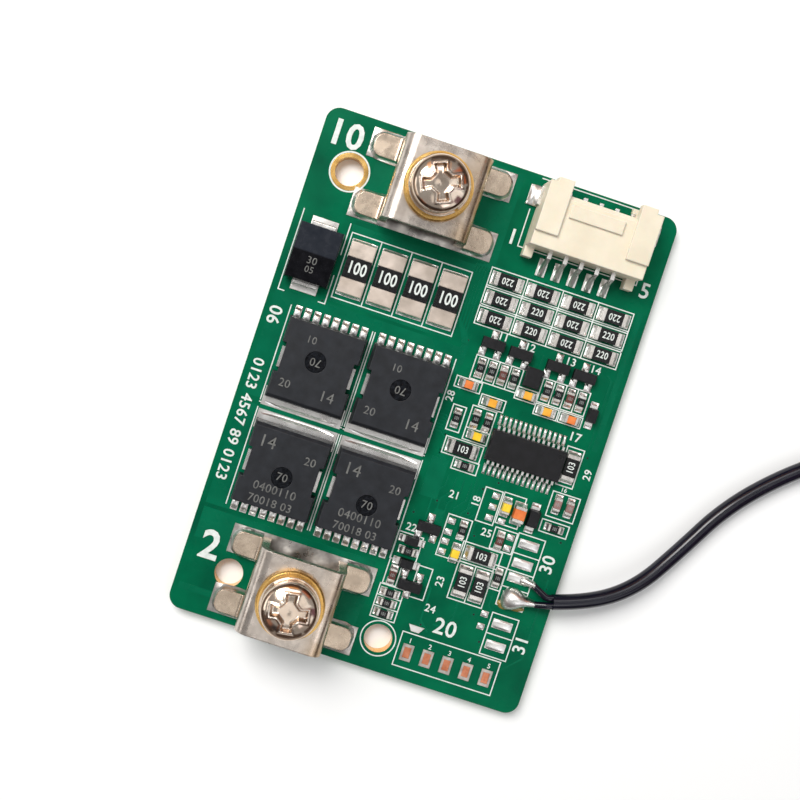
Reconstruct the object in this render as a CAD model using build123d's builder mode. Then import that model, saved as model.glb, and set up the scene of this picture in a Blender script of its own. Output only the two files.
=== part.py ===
"""Battery management board: a green circuit board with two bridge screw terminals, four power transistors,
four shunt resistors, a five-way cell header and a soldered temperature sensor lead.

Frame: millimetres, +Z up, origin on the underside at the middle of the board.
+Y points to the end with the cell header and the negative terminal.
"""
from build123d import *
from math import asin, cos, pi, radians, sin, tan
import os

# Board
board_width = 45.0
board_length = 64.0
board_thickness = 1.6
board_corner_radius = 1.7
foot_end = -board_length / 2

# Fixing holes: the upper one keeps its place beside the terminal, the lower two keep theirs to the foot end
fixing_hole_radius = 1.75
upper_left_hole = (-17.75, 24.95)
lower_left_hole_x = -16.4
lower_left_hole_end_gap = 6.0
lower_right_hole_x = 3.45
lower_right_hole_end_gap = 4.0
hole_ring_width = 0.55
hole_ring_thickness = 0.05
lower_left_hole = (lower_left_hole_x, foot_end + lower_left_hole_end_gap)
lower_right_hole = (lower_right_hole_x, foot_end + lower_right_hole_end_gap)

# Copper pads stand this far above the board, and reach this far past what is soldered to them
pad_thickness = 0.1
pad_margin = 0.1

# Edges this close to a level or a line count as lying on it
near = 0.01

# Bridge screw terminals
negative_terminal_place = (-7.35, 25.5)
positive_terminal_place = (-8.4, -25.5)
bridge_width = 10.6
bridge_depth = 10.2
bridge_height = 6.9
bridge_sheet = 1.0
bridge_bend_radius = 1.6
bridge_foot_reach = 3.3
bridge_foot_depth = 2.85
bridge_foot_corner = 1.1
bridge_foot_bend = 0.4
bridge_inner_bend = 0.65
bridge_collar_depth = 0.9
bridge_collar_wall = 0.9
terminal_pad_length = 18.3
terminal_pad_width = 3.6
terminal_pad_offset = 3.8
screw_thread_radius = 2.0
screw_length = 6.0
screw_head_radius = 3.3
screw_head_height = 2.5
screw_head_edge = 1.1
screw_rim_chamfer = 0.4
screw_end_chamfer = 0.4
recess_span = 5.0
recess_root_width = 1.2
recess_tip_width = 1.8
recess_depth = 1.7
recess_draft = 14
screw_hole_clearance = 0.1
flat_washer_radius = 4.05
flat_washer_thickness = 0.8
flat_washer_chamfer = 0.2
spring_washer_radius = 3.55
spring_washer_thickness = 1.0
spring_washer_split = 0.5
spring_washer_split_turn = -60
washer_hole_clearance = 0.15
screw_turns = {"negative": 22, "positive": 8}

# Power transistors: eight leads at one end, the drain tab at the other
transistor_columns = (-14.15, -3.45)
transistor_rows = (1.15, -11.95)
transistor_row_turns = (0, 180)
transistor_width = 9.8
transistor_length = 10.3
transistor_height = 2.3
transistor_frame_height = 0.5
transistor_draft = 8
transistor_tab_chamfer = 0.35
transistor_lead_count = 8
transistor_lead_pitch = 1.2
transistor_lead_width = 0.75
transistor_lead_reach = 0.75
transistor_tab_width = 9.3
transistor_tab_reach = 0.6
transistor_notch_length = 3.7
transistor_notch_depth = 0.65
transistor_side_tab_length = 2.6
transistor_side_tab_width = 0.4
transistor_side_tab_height = 1.0
transistor_dimple_radius = 1.3
transistor_dimple_depth = 0.12
transistor_dimple_offset = (-0.25, 0.65)
transistor_lead_pad_length = 2.3
transistor_lead_pad_overlap = 0.6
transistor_lead_pad_width = 0.85
transistor_tab_pad_width = 10.1
transistor_tab_pad_length = 2.6
transistor_pad_overlap = 0.75

# Power diode
diode_place = (-18.6, 13.95)
diode_width = 5.5
diode_length = 7.0
diode_height = 2.35
diode_draft = 7
diode_lift = 0.15
diode_tab_width = 3.0
diode_tab_sheet = 0.25
diode_tab_reach = 0.5
diode_tab_fold = 1.4
diode_pad_width = 3.3
diode_pad_length = 2.6
diode_pad_reach = 1.15

# Shunt resistors
shunt_count = 4
shunt_pitch = 3.87
shunt_row_place = (-7.4, 13.95)
shunt_length = 6.4
shunt_width = 3.1
shunt_height = 0.75
shunt_end_length = 1.9
shunt_end_height = 0.65
shunt_pad_reach = 0.35
shunt_pad_length = 2.4

# Cell header
header_place = (12.15, 31.55)
header_ways = 5
header_pitch = 2.0
header_width = 14.0
header_depth = 8.4
header_height = 4.4
header_rib_height = 0.45
header_rib_width = 2.75
header_rib_length = 6.7
header_wall = 1.0
header_floor = 0.9
header_roof = 0.9
header_rear_wall = 1.9
header_mouth_setback = 1.6
header_corner_notch = (0.85, 0.6)
header_bar_size = (6.6, 1.6)
header_bar_setback = 3.4
header_bar_height = 0.3
header_bar_shift = -0.35
header_lip_chamfer = 0.54
header_post_width = 1.15
header_post_reach = 1.3
header_post_height = 1.6
pin_thickness = 0.5
pin_rise = 2.35
pin_tip_setback = 1.0
pin_exit_drop = 0.9
pin_foot_length = 0.75
pin_reach = 2.7
pin_pad_size = (1.15, 2.2)
pin_pad_overlap = 0.25
anchor_reach = 1.3
anchor_length = 2.3
anchor_setback = 0.45
anchor_sheet = 0.3
anchor_height = 1.6

# Controller chip
controller_place = (13.35, -1.0)
controller_length = 9.5
controller_width = 3.95
controller_height = 1.55
controller_lift = 0.15
controller_draft = 9
controller_leads_per_side = 14
controller_lead_pitch = 0.635
controller_lead_width = 0.3
controller_lead_sheet = 0.2
controller_lead_reach = 1.15
controller_foot = 0.6
controller_pad_reach = 1.8
controller_pad_width = 0.36
controller_dimple_radius = 0.3
controller_dimple_depth = 0.08
controller_dimple_inset = 0.85

# Small three-lead transistors, each place with its turn
small_transistor_places = [
    (5.4, 10.6, 0), (8.95, 10.5, 0), (13.75, 10.4, 0), (17.2, 10.3, 0), (5.0, -13.1, 0), (5.0, -20.55, 180),
]
small_transistor_length = 2.9
small_transistor_width = 1.3
small_transistor_height = 1.0
small_transistor_lift = 0.1
small_transistor_draft = 7
small_transistor_spread = 1.9
small_lead_width = 0.42
small_lead_sheet = 0.15
small_lead_reach = 0.55
small_lead_foot = 0.3
small_pad_size = (0.85, 1.0)

# Square chip
square_chip_place = (11.3, 8.2)
square_chip_size = (2.0, 2.45, 0.9)
square_chip_chamfer = 0.06
square_chip_pad_inset = 0.2

# Chip resistors: length, width, height and the length of each metal end
large_chip = (3.2, 1.6, 0.55)
large_chip_end = 0.5
small_chip = (1.6, 0.85, 0.45)
small_chip_end = 0.3
chip_pad_reach = 0.45
chip_end_step = 0.03
balance_columns = 4
balance_rows = 3
balance_pitch = (4.58, 2.42)
balance_middle = (11.55, 15.9)
large_resistor_places = [
    (5.9, -2.75, 0), (19.2, -0.75, 90), (12.2, -14.5, 0), (11.05, -18.15, 90), (13.2, -18.15, 90),
]
small_resistor_places = [
    (4.85, 7.35, 90), (6.3, 7.35, 90), (7.75, 7.35, 90), (9.2, 7.35, 90),
    (13.5, 7.2, 90), (14.95, 7.2, 90), (16.45, 7.2, 90), (17.9, 7.2, 90),
    (4.0, 0.65, 90), (6.3, 1.25, 90), (7.8, 1.25, 90), (6.8, -4.6, 0),
    (19.15, -5.55, 90), (20.7, -5.55, 90), (19.7, -8.5, 0), (9.05, -12.2, 90), (13.8, -12.0, 90),
    (15.0, -16.4, 90), (2.65, -20.0, 90), (3.05, -22.2, 0), (3.05, -23.5, 0), (3.05, -24.85, 0),
    (3.55, -16.65, 0),
]

# Ceramic capacitors
small_capacitor = (1.6, 0.95, 0.85)
small_capacitor_end = 0.3
small_capacitor_places = [
    (4.1, 5.0, 0), (11.35, 5.95, 0), (14.2, 4.8, 0), (17.35, 4.8, 0), (7.55, 3.75, 0), (7.05, -0.7, 0),
    (13.25, -7.8, 90), (9.05, -15.1, 90),
]
large_capacitor = (2.0, 1.4, 1.1)
large_capacitor_end = 0.4
large_capacitor_place = (14.95, -8.1, 90)

# Small diodes, each place with its turn, length and width of body
small_diodes = [
    (16.8, -8.1, 90, 2.2, 1.45), (19.65, 6.1, 90, 1.8, 1.2),
    (3.6, -15.3, 0, 1.7, 1.1), (3.8, -18.15, 0, 1.8, 1.2),
]
small_diode_height = 1.0
small_diode_draft = 6
small_diode_tab_width_share = 0.7
small_diode_tab_reach = 0.4
small_diode_tab_sheet = 0.2
small_diode_pad_length = 0.9
small_diode_pad_overlap = 0.15

# Bare pads
sensor_pad_size = (2.5, 1.15)
sensor_pad_x = 17.45
sensor_pad_rows = [-11.45, -13.9, -15.75, -18.2, -21.8, -24.5]
test_pad_count = 5
test_pad_pitch = 2.54
test_pad_middle = (12.43, -28.6)
test_pad_size = (1.4, 2.1)
test_pad_centre_size = (0.85, 1.35)
spare_pad_size = (0.9, 0.75)
spare_pad_places = [
    (11.7, -6.9), (11.7, -8.3), (11.7, -9.7), (13.3, -9.7), (7.5, -11.5), (7.5, -12.9),
    (7.5, -14.1), (7.5, -15.4), (15.0, -11.2), (15.0, -12.6), (14.95, -21.1), (14.95, -22.7),
]
solder_bar_place = (7.5, -25.5)
solder_bar_widths = (2.0, 1.0)
solder_bar_depth = 0.8

# Temperature sensor lead
core_radius = 0.42
sleeve_radius = 0.95
core_straight = 0.7
core_bend_radius = 0.8
core_spread = 0.46
core_solder_wall = 0.06
joint_corner_share = 0.42
joint_place = (17.75, -18.25)
joint_size = (3.3, 2.7)
joint_height = 1.3
joint_draft = 32
joint_neck_radius = 0.95
joint_tip = (20.15, -17.95, 2.65)
small_joint_place = (18.6, -15.75)
small_joint_size = (1.5, 1.0)
small_joint_height = 0.55
small_joint_draft = 20
small_joint_neck_radius = 0.45
small_joint_tip = (19.35, -15.8, 2.4)
joint_form = (joint_place, joint_size, joint_height, joint_draft, joint_neck_radius)
small_joint_form = (small_joint_place, small_joint_size, small_joint_height, small_joint_draft,
                    small_joint_neck_radius)
sleeve_corner_share = 0.45
sleeve_points = [
    (22.0, -16.9, 3.0), (26.4, -15.6, 2.85), (31.6, -12.1, 2.1), (35.4, -6.4, 1.3), (39.2, 0.4, 1.15),
    (44.6, 6.3, 1.2), (51.0, 11.2, 1.25), (57.4, 15.0, 1.25),
]
sensor_tip_radius = 1.2
sensor_tip_length = 5.5
sensor_tip_chamfer = 0.5

board_top = board_thickness
pad_top = board_top + pad_thickness
transistor_places = []
for row_y, row_turn in zip(transistor_rows, transistor_row_turns):
    for column_x in transistor_columns:
        transistor_places.append((column_x, row_y, row_turn))
os.makedirs("parts", exist_ok=True)


def save(part, name):
    """Labels a finished piece and writes its file."""
    part.label = name
    export_step(part, f"parts/{name}.step")


def seats(places):
    """Board places as (x, y) or (x, y, turn), read as locations in a sketch."""
    return [Location((place[0], place[1], 0), (0, 0, place[2] if len(place) > 2 else 0)) for place in places]


def along(places, offset_x, offset_y=0.0):
    """Places moved by an offset measured in each place's own turned axes."""
    moved = []
    for place in places:
        x, y = place[0], place[1]
        turn = place[2] if len(place) > 2 else 0
        angle = radians(turn)
        moved.append((
            x + offset_x * cos(angle) - offset_y * sin(angle),
            y + offset_x * sin(angle) + offset_y * cos(angle),
            turn,
        ))
    return moved


def plates(places, width, depth, bottom, height):
    """Equal rectangular plates, one separate solid at each place."""
    with BuildPart() as group:
        with BuildSketch(Plane.XY.offset(bottom)):
            with Locations(*seats(places)):
                Rectangle(width, depth)
        extrude(amount=height)
    return group


def chip_group(name, places, size, end):
    """Chip resistors or capacitors: one node of bodies and one of metal ends, seated on their pads."""
    length, width, height = size
    save(plates(places, length - 2 * end, width, pad_top, height).part, f"{name}_bodies")
    end_offset = (length - end) / 2
    end_places = along(places, end_offset) + along(places, -end_offset)
    save(plates(end_places, end, width, pad_top, height - chip_end_step).part, f"{name}_ends")


def chip_pads(places, size, end):
    """Places and size of the pads under a chip's two ends."""
    length, width, _ = size
    pad_length = end + chip_pad_reach + pad_margin
    offset = length / 2 + chip_pad_reach - pad_length / 2
    return along(places, offset) + along(places, -offset), pad_length, width + pad_margin


def circuit_board():
    with BuildPart() as board:
        with BuildSketch():
            RectangleRounded(board_width, board_length, board_corner_radius)
        extrude(amount=board_thickness)
        with Locations(*[(x, y, board_top) for x, y in (upper_left_hole, lower_left_hole, lower_right_hole)]):
            Hole(fixing_hole_radius)
    save(board.part, "circuit_board")
    with BuildPart() as ring:
        with BuildSketch(Plane.XY.offset(board_top)):
            with Locations(upper_left_hole):
                Circle(fixing_hole_radius + hole_ring_width)
                Circle(fixing_hole_radius, mode=Mode.SUBTRACT)
        extrude(amount=hole_ring_thickness)
    save(ring.part, "hole_ring")


def bridge(place, name):
    """Folded sheet bridge: a top plate, two legs and four feet turned outwards."""
    x, y = place
    half = bridge_width / 2
    top = board_top + bridge_height
    under = top - bridge_sheet
    bend = bridge_bend_radius
    with BuildPart() as bracket:
        with BuildSketch(Plane.XZ.offset(-y - bridge_depth / 2)):
            with Locations((x, (pad_top + top) / 2)):
                Rectangle(bridge_width, top - pad_top)
            with Locations((x, (pad_top + top - bridge_sheet) / 2)):
                Rectangle(bridge_width - 2 * bridge_sheet, top - bridge_sheet - pad_top, mode=Mode.SUBTRACT)
        extrude(amount=bridge_depth)
        sides = bracket.edges().filter_by(Axis.Y)
        fillet(sides.group_by(Axis.Z)[-1], bend)
        inner = bracket.edges().filter_by(Axis.Y).filter_by(
            lambda e: abs(e.center().Z - top + bridge_sheet) < near and abs(e.center().X - x) < half)
        fillet(inner, bridge_inner_bend)
        foot_y = (bridge_depth - bridge_foot_depth) / 2
        reach = bridge_sheet + bridge_foot_reach
        foot_x = half - bridge_sheet + reach / 2
        with BuildSketch(Plane.XY.offset(pad_top)):
            with Locations((x - foot_x, y - foot_y), (x - foot_x, y + foot_y),
                           (x + foot_x, y - foot_y), (x + foot_x, y + foot_y)):
                Rectangle(reach, bridge_foot_depth)
        extrude(amount=bridge_sheet)
        tips = bracket.edges().filter_by(Axis.Z).filter_by(
            lambda e: abs(abs(e.center().X - x) - (half + bridge_foot_reach)) < near)
        fillet(tips, bridge_foot_corner)
        bends = bracket.edges().filter_by(Axis.Y).filter_by(
            lambda e: abs(abs(e.center().X - x) - half) < near and e.center().Z < pad_top + 2 * bridge_sheet)
        fillet(bends.group_by(Axis.Z)[-1], bridge_foot_bend)
        hole_radius = screw_thread_radius + screw_hole_clearance
        with BuildSketch(Plane.XY.offset(under)):
            with Locations((x, y)):
                Circle(hole_radius + bridge_collar_wall)
        extrude(amount=-bridge_collar_depth)
        with Locations((x, y, top)):
            Hole(hole_radius, depth=bridge_sheet + bridge_collar_depth)
    save(bracket.part, f"{name}_bridge")


def terminal_fasteners(place, name):
    """Flat washer, split spring washer and pan-head screw, stacked on the bridge."""
    x, y = place
    plate_top = board_top + bridge_height
    washer_hole = screw_thread_radius + washer_hole_clearance
    with BuildPart() as flat_washer:
        with BuildSketch(Plane.XY.offset(plate_top)):
            with Locations((x, y)):
                Circle(flat_washer_radius)
                Circle(washer_hole, mode=Mode.SUBTRACT)
        extrude(amount=flat_washer_thickness)
        upper_edges = flat_washer.edges().filter_by(GeomType.CIRCLE).group_by(Axis.Z)[-1]
        chamfer(upper_edges.sort_by(SortBy.RADIUS)[-1], flat_washer_chamfer)
    save(flat_washer.part, f"{name}_flat_washer")

    spring_bottom = plate_top + flat_washer_thickness
    with BuildPart() as spring_washer:
        with BuildSketch(Plane.XY.offset(spring_bottom)):
            with Locations((x, y)):
                Circle(spring_washer_radius)
                Circle(washer_hole, mode=Mode.SUBTRACT)
            with Locations(Location((x, y, 0), (0, 0, spring_washer_split_turn + screw_turns[name]))):
                Rectangle(spring_washer_radius + 1, spring_washer_split, align=(Align.MIN, Align.CENTER),
                          mode=Mode.SUBTRACT)
        extrude(amount=spring_washer_thickness)
    save(spring_washer.part, f"{name}_spring_washer")

    seat = spring_bottom + spring_washer_thickness
    end = seat - screw_length
    dome_rise = screw_head_height - screw_head_edge
    dome_radius = (screw_head_radius ** 2 + dome_rise ** 2) / (2 * dome_rise)
    half_angle = asin(screw_head_radius / dome_radius) / 2
    dome_top = seat + screw_head_height
    with BuildPart() as screw:
        with BuildSketch(Plane.XZ) as half_section:
            with BuildLine():
                Polyline((0, end), (screw_thread_radius - screw_end_chamfer, end),
                         (screw_thread_radius, end + screw_end_chamfer), (screw_thread_radius, seat),
                         (screw_head_radius, seat), (screw_head_radius, seat + screw_head_edge))
                ThreePointArc((screw_head_radius, seat + screw_head_edge),
                              (dome_radius * sin(half_angle), dome_top - dome_radius * (1 - cos(half_angle))),
                              (0, dome_top))
                Line((0, dome_top), (0, end))
            make_face()
        revolve(axis=Axis.Z)
        rim = screw.edges().filter_by(GeomType.CIRCLE).filter_by(
            lambda e: abs(e.center().Z - seat - screw_head_edge) < near)
        chamfer(rim, screw_rim_chamfer)
        root = recess_root_width / 2
        tip_x, tip_y = recess_span / 2, recess_tip_width / 2
        outline = []
        for quarter in range(4):
            for corner in (Vector(root, root), Vector(tip_x, tip_y), Vector(tip_x, -tip_y)):
                turned = corner.rotate(Axis.Z, -90 * quarter)
                outline.append((turned.X, turned.Y))
        with BuildSketch(Plane.XY.offset(dome_top)):
            Polygon(*outline, align=None)
        extrude(amount=-recess_depth, taper=recess_draft, mode=Mode.SUBTRACT)
    save(screw.part.moved(Location((x, y, 0), (0, 0, screw_turns[name]))), f"{name}_screw")


def terminal_pads():
    places = []
    for x, y in (negative_terminal_place, positive_terminal_place):
        places += [(x, y - terminal_pad_offset), (x, y + terminal_pad_offset)]
    pads = plates(places, terminal_pad_length, terminal_pad_width, board_top, pad_thickness)
    save(pads.part, "terminal_pads")


def power_transistor(number):
    x, y, turn = transistor_places[number - 1]
    seat = Location((x, y, pad_top), (0, 0, turn))
    half_width = transistor_width / 2
    half_length = transistor_length / 2
    upper = transistor_height - transistor_frame_height
    with BuildPart() as body:
        with BuildSketch():
            Rectangle(transistor_width, transistor_length)
        extrude(amount=transistor_frame_height)
        with BuildSketch(Plane.XY.offset(transistor_frame_height)):
            Rectangle(transistor_width, transistor_length)
        extrude(amount=upper, taper=transistor_draft)
        tab_edge = body.edges().filter_by(Axis.X).group_by(Axis.Z)[-1].sort_by(Axis.Y)[0]
        chamfer(tab_edge, transistor_tab_chamfer)
        with BuildSketch(Plane.XY):
            with Locations((-half_width, 0), (half_width, 0)):
                Rectangle(2 * transistor_notch_depth, transistor_notch_length)
        extrude(amount=transistor_height, mode=Mode.SUBTRACT)
        with Locations((transistor_dimple_offset[0], transistor_dimple_offset[1], transistor_height)):
            Hole(transistor_dimple_radius, depth=transistor_dimple_depth)
    save(body.part.moved(seat), f"transistor_{number}_body")

    with BuildPart() as frame:
        with BuildSketch():
            with Locations((0, half_length + transistor_lead_reach / 2)):
                with GridLocations(transistor_lead_pitch, 1, transistor_lead_count, 1):
                    Rectangle(transistor_lead_width, transistor_lead_reach)
            with Locations((0, -half_length - transistor_tab_reach / 2)):
                Rectangle(transistor_tab_width, transistor_tab_reach)
        extrude(amount=transistor_frame_height)
        tab_x = half_width - transistor_notch_depth + transistor_side_tab_width / 2
        with BuildSketch():
            with Locations((-tab_x, 0), (tab_x, 0)):
                Rectangle(transistor_side_tab_width, transistor_side_tab_length)
        extrude(amount=transistor_side_tab_height)
    save(frame.part.moved(seat), f"transistor_{number}_leads")


def power_diode():
    x, y = diode_place
    middle = diode_height / 2
    half = diode_length / 2
    with BuildPart() as body:
        with BuildSketch(Plane.XY.offset(middle)):
            Rectangle(diode_width, diode_length)
        extrude(amount=middle, taper=diode_draft)
        with BuildSketch(Plane.XY.offset(middle)):
            Rectangle(diode_width, diode_length)
        extrude(amount=-middle + diode_lift + diode_tab_sheet, taper=diode_draft)
    seat = Location((x, y, pad_top))
    save(body.part.moved(seat), "power_diode_body")

    outer = half + diode_tab_reach
    sheet = diode_tab_sheet
    with BuildPart() as tabs:
        with BuildSketch(Plane.YZ.offset(-diode_tab_width / 2)):
            with BuildLine():
                Polyline((half, middle), (outer, middle), (outer, 0), (outer - diode_tab_fold, 0),
                         (outer - diode_tab_fold, sheet), (outer - sheet, sheet),
                         (outer - sheet, middle - sheet), (half, middle - sheet), (half, middle))
            make_face()
            mirror(about=Plane.YZ)
        extrude(amount=diode_tab_width)
        fillet(tabs.edges().filter_by(Axis.X).group_by(Axis.Z)[-1].filter_by(
            lambda e: abs(e.center().Y) > outer - near), sheet * 0.8)
    save(tabs.part.moved(seat), "power_diode_tabs")


def shunt_places():
    x, y = shunt_row_place
    first = x - shunt_pitch * (shunt_count - 1) / 2
    return [(first + shunt_pitch * index, y, 90) for index in range(shunt_count)]


def shunt_resistors():
    places = shunt_places()
    middle_length = shunt_length - 2 * shunt_end_length
    save(plates(places, middle_length, shunt_width, pad_top, shunt_height).part, "shunt_elements")
    offset = (shunt_length - shunt_end_length) / 2
    end_places = along(places, offset) + along(places, -offset)
    save(plates(end_places, shunt_end_length, shunt_width, pad_top, shunt_end_height).part, "shunt_ends")


def power_pads():
    """Pads under the power transistors, the shunt resistors and the power diode."""
    with BuildPart() as pads:
        with BuildSketch(Plane.XY.offset(board_top)):
            for place in transistor_places:
                lead_y = (transistor_length - transistor_lead_pad_length) / 2 + transistor_lead_reach \
                    + transistor_lead_pad_overlap
                first = -transistor_lead_pitch * (transistor_lead_count - 1) / 2
                for index in range(transistor_lead_count):
                    with Locations(*seats(along([place], first + transistor_lead_pitch * index, lead_y))):
                        Rectangle(transistor_lead_pad_width, transistor_lead_pad_length)
                tab_y = -transistor_length / 2 - transistor_pad_overlap - transistor_tab_reach \
                    + transistor_tab_pad_length / 2
                with Locations(*seats(along([place], 0, tab_y))):
                    Rectangle(transistor_tab_pad_width, transistor_tab_pad_length)
            shunt_offset = shunt_length / 2 + shunt_pad_reach - shunt_pad_length / 2
            shunts = shunt_places()
            with Locations(*seats(along(shunts, shunt_offset) + along(shunts, -shunt_offset))):
                Rectangle(shunt_pad_length, shunt_width + pad_margin)
            diode_offset = diode_length / 2 + diode_pad_reach - diode_pad_length / 2
            x, y = diode_place
            with Locations((x, y - diode_offset), (x, y + diode_offset)):
                Rectangle(diode_pad_width, diode_pad_length)
        extrude(amount=pad_thickness)
    save(pads.part, "power_pads")


def header_pin_x():
    x = header_place[0]
    return [x + header_pitch * (index - (header_ways - 1) / 2) for index in range(header_ways)]


def header_housing():
    """Moulded side-entry housing: open mouth, cut-back roof and floor, two raised ribs, two rear posts."""
    x, front = header_place
    rear = front - header_depth
    half = header_width / 2
    roof = board_top + header_height
    cavity_height = header_height - header_floor - header_roof
    cavity_depth = header_depth - header_rear_wall
    with BuildPart() as housing:
        with BuildSketch(Plane.XY.offset(board_top)):
            with Locations((x, (front + rear) / 2)):
                Rectangle(header_width, header_depth)
        extrude(amount=header_height)
        with BuildSketch(Plane.XY.offset(roof)):
            for side in (-1, 1):
                with Locations((x + side * (half - header_rib_width / 2), front - header_rib_length / 2)):
                    Rectangle(header_rib_width, header_rib_length)
        extrude(amount=header_rib_height)
        with BuildSketch(Plane.XY.offset(board_top)):
            for side in (-1, 1):
                post_x = x + side * (half - header_post_width / 2)
                with Locations((post_x, rear - header_post_reach / 2)):
                    Rectangle(header_post_width, header_post_reach)
        extrude(amount=header_post_height)
        with BuildSketch(Plane.XY.offset(board_top)):
            with Locations((x, front - header_mouth_setback / 2)):
                Rectangle(header_width - 2 * header_rib_width, header_mouth_setback)
        extrude(amount=header_height + header_rib_height, mode=Mode.SUBTRACT)
        with BuildSketch(Plane.XY.offset(board_top + header_floor)):
            with Locations((x, front - cavity_depth / 2)):
                Rectangle(header_width - 2 * header_wall, cavity_depth)
        extrude(amount=cavity_height, mode=Mode.SUBTRACT)
        with BuildSketch(Plane.XY.offset(board_top)):
            for side in (-1, 1):
                notch_width, notch_depth = header_corner_notch
                with Locations((x + side * (half - notch_width / 2), front - notch_depth / 2)):
                    Rectangle(notch_width, notch_depth)
        extrude(amount=header_height + header_rib_height, mode=Mode.SUBTRACT)
        with BuildSketch(Plane.XY.offset(roof)):
            with Locations((x + header_bar_shift, front - header_bar_setback)):
                Rectangle(*header_bar_size)
        extrude(amount=header_bar_height)
        front_edge = housing.edges().filter_by(Axis.X).filter_by(
            lambda e: abs(e.center().Y - front + header_mouth_setback) < near).group_by(Axis.Z)[-1]
        chamfer(front_edge, header_lip_chamfer)
        with BuildSketch(Plane.XZ.offset(-rear - header_rear_wall)):
            with Locations(*[(pin_x, board_top + pin_rise) for pin_x in header_pin_x()]):
                Rectangle(pin_thickness, pin_thickness)
        extrude(amount=2 * header_rear_wall, mode=Mode.SUBTRACT)
    save(housing.part, "header_housing")


def header_pins():
    """Square pins: straight through the rear wall, then down to their pads as gull wings."""
    front = header_place[1]
    rear = front - header_depth
    level = board_top + pin_rise
    half = pin_thickness / 2
    foot_end_y = rear - pin_reach
    foot_start = foot_end_y + pin_foot_length
    knee = rear - pin_exit_drop
    slope_x = knee - foot_start
    slope_z = level - half - pad_top
    heel = foot_start + pin_thickness * slope_x / (slope_x + slope_z)
    tip = front - pin_tip_setback
    with BuildPart() as pins:
        for pin_x in header_pin_x():
            with BuildSketch(Plane.YZ.offset(pin_x - half)):
                with BuildLine():
                    Polyline((tip, level + half), (knee, level + half), (foot_start, pad_top + pin_thickness),
                             (foot_end_y, pad_top + pin_thickness), (foot_end_y, pad_top), (heel, pad_top),
                             (knee + half, level - half), (tip, level - half), (tip, level + half))
                make_face()
            extrude(amount=pin_thickness)
    save(pins.part, "header_pins")


def header_anchors():
    """Bent sheet anchors beside the housing, each soldered down by its foot."""
    x, front = header_place
    half = header_width / 2
    middle_y = front - anchor_setback - header_corner_notch[1] - anchor_length / 2
    with BuildPart() as anchors:
        with BuildSketch(Plane.XZ.offset(-middle_y - anchor_length / 2)):
            for side in (-1, 1):
                with BuildLine():
                    inner = x + side * half
                    Polyline((inner, pad_top), (inner + side * anchor_reach, pad_top),
                             (inner + side * anchor_reach, pad_top + anchor_sheet),
                             (inner + side * anchor_sheet, pad_top + anchor_sheet),
                             (inner + side * anchor_sheet, pad_top + anchor_height),
                             (inner, pad_top + anchor_height), (inner, pad_top))
                make_face()
        extrude(amount=anchor_length)
    save(anchors.part, "header_anchors")


def controller_chip():
    x, y = controller_place
    middle = controller_lift + (controller_height - controller_lift) / 2
    with BuildPart() as body:
        with BuildSketch(Plane.XY.offset(middle)):
            Rectangle(controller_length, controller_width)
        extrude(amount=controller_height - middle, taper=controller_draft)
        with BuildSketch(Plane.XY.offset(middle)):
            Rectangle(controller_length, controller_width)
        extrude(amount=controller_lift - middle, taper=controller_draft)
        dimple_x = controller_length / 2 - controller_dimple_inset
        dimple_y = controller_width / 2 - controller_dimple_inset
        with Locations((dimple_x, dimple_y, controller_height)):
            Hole(controller_dimple_radius, depth=controller_dimple_depth)
    seat = Location((x, y, pad_top))
    save(body.part.moved(seat), "controller_body")

    sheet = controller_lead_sheet
    root = controller_width / 2
    toe = root + controller_lead_reach
    heel = toe - controller_foot
    first = -controller_lead_pitch * (controller_leads_per_side - 1) / 2
    with BuildPart() as leads:
        for index in range(controller_leads_per_side):
            lead_x = first + controller_lead_pitch * index - controller_lead_width / 2
            with BuildSketch(Plane.YZ.offset(lead_x)):
                with BuildLine():
                    Polyline((root, middle + sheet / 2), (heel - sheet / 2, middle + sheet / 2),
                             (heel + sheet, sheet), (toe, sheet), (toe, 0), (heel, 0),
                             (heel - sheet * 1.5, middle - sheet / 2), (root, middle - sheet / 2),
                             (root, middle + sheet / 2))
                make_face()
                mirror(about=Plane.YZ)
            extrude(amount=controller_lead_width)
    save(leads.part.moved(seat), "controller_leads")


def small_transistors():
    middle = small_transistor_lift + (small_transistor_height - small_transistor_lift) / 2
    with BuildPart() as bodies:
        for up in (small_transistor_height - middle, small_transistor_lift - middle):
            with BuildSketch(Plane.XY.offset(pad_top + middle)):
                with Locations(*seats(small_transistor_places)):
                    Rectangle(small_transistor_length, small_transistor_width)
            extrude(amount=up, taper=small_transistor_draft)
    save(bodies.part, "small_transistor_bodies")

    sheet = small_lead_sheet
    root = small_transistor_width / 2
    toe = root + small_lead_reach
    heel = toe - small_lead_foot
    spread = small_transistor_spread / 2
    with BuildPart() as leads:
        for place in small_transistor_places:
            for across, side in ((0, 1), (-spread, -1), (spread, -1)):
                x, y, turn = along([place], across)[0]
                outward = Vector(0, side).rotate(Axis.Z, turn)
                across_lead = outward.rotate(Axis.Z, -90)
                with BuildSketch(Plane(origin=(x, y, pad_top), x_dir=outward, z_dir=across_lead)):
                    with BuildLine():
                        Polyline((root, middle + sheet / 2), (heel, middle + sheet / 2),
                                 (heel + sheet, sheet), (toe, sheet), (toe, 0), (heel, 0),
                                 (heel - sheet, middle - sheet / 2), (root, middle - sheet / 2),
                                 (root, middle + sheet / 2))
                    make_face()
                extrude(amount=small_lead_width / 2, both=True)
    save(leads.part, "small_transistor_leads")


def square_chip():
    width, depth, height = square_chip_size
    with BuildPart() as chip:
        with BuildSketch(Plane.XY.offset(pad_top)):
            with Locations(square_chip_place):
                Rectangle(width, depth)
        extrude(amount=height)
        chamfer(chip.edges().group_by(Axis.Z)[-1], square_chip_chamfer)
    save(chip.part, "square_chip")


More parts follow.
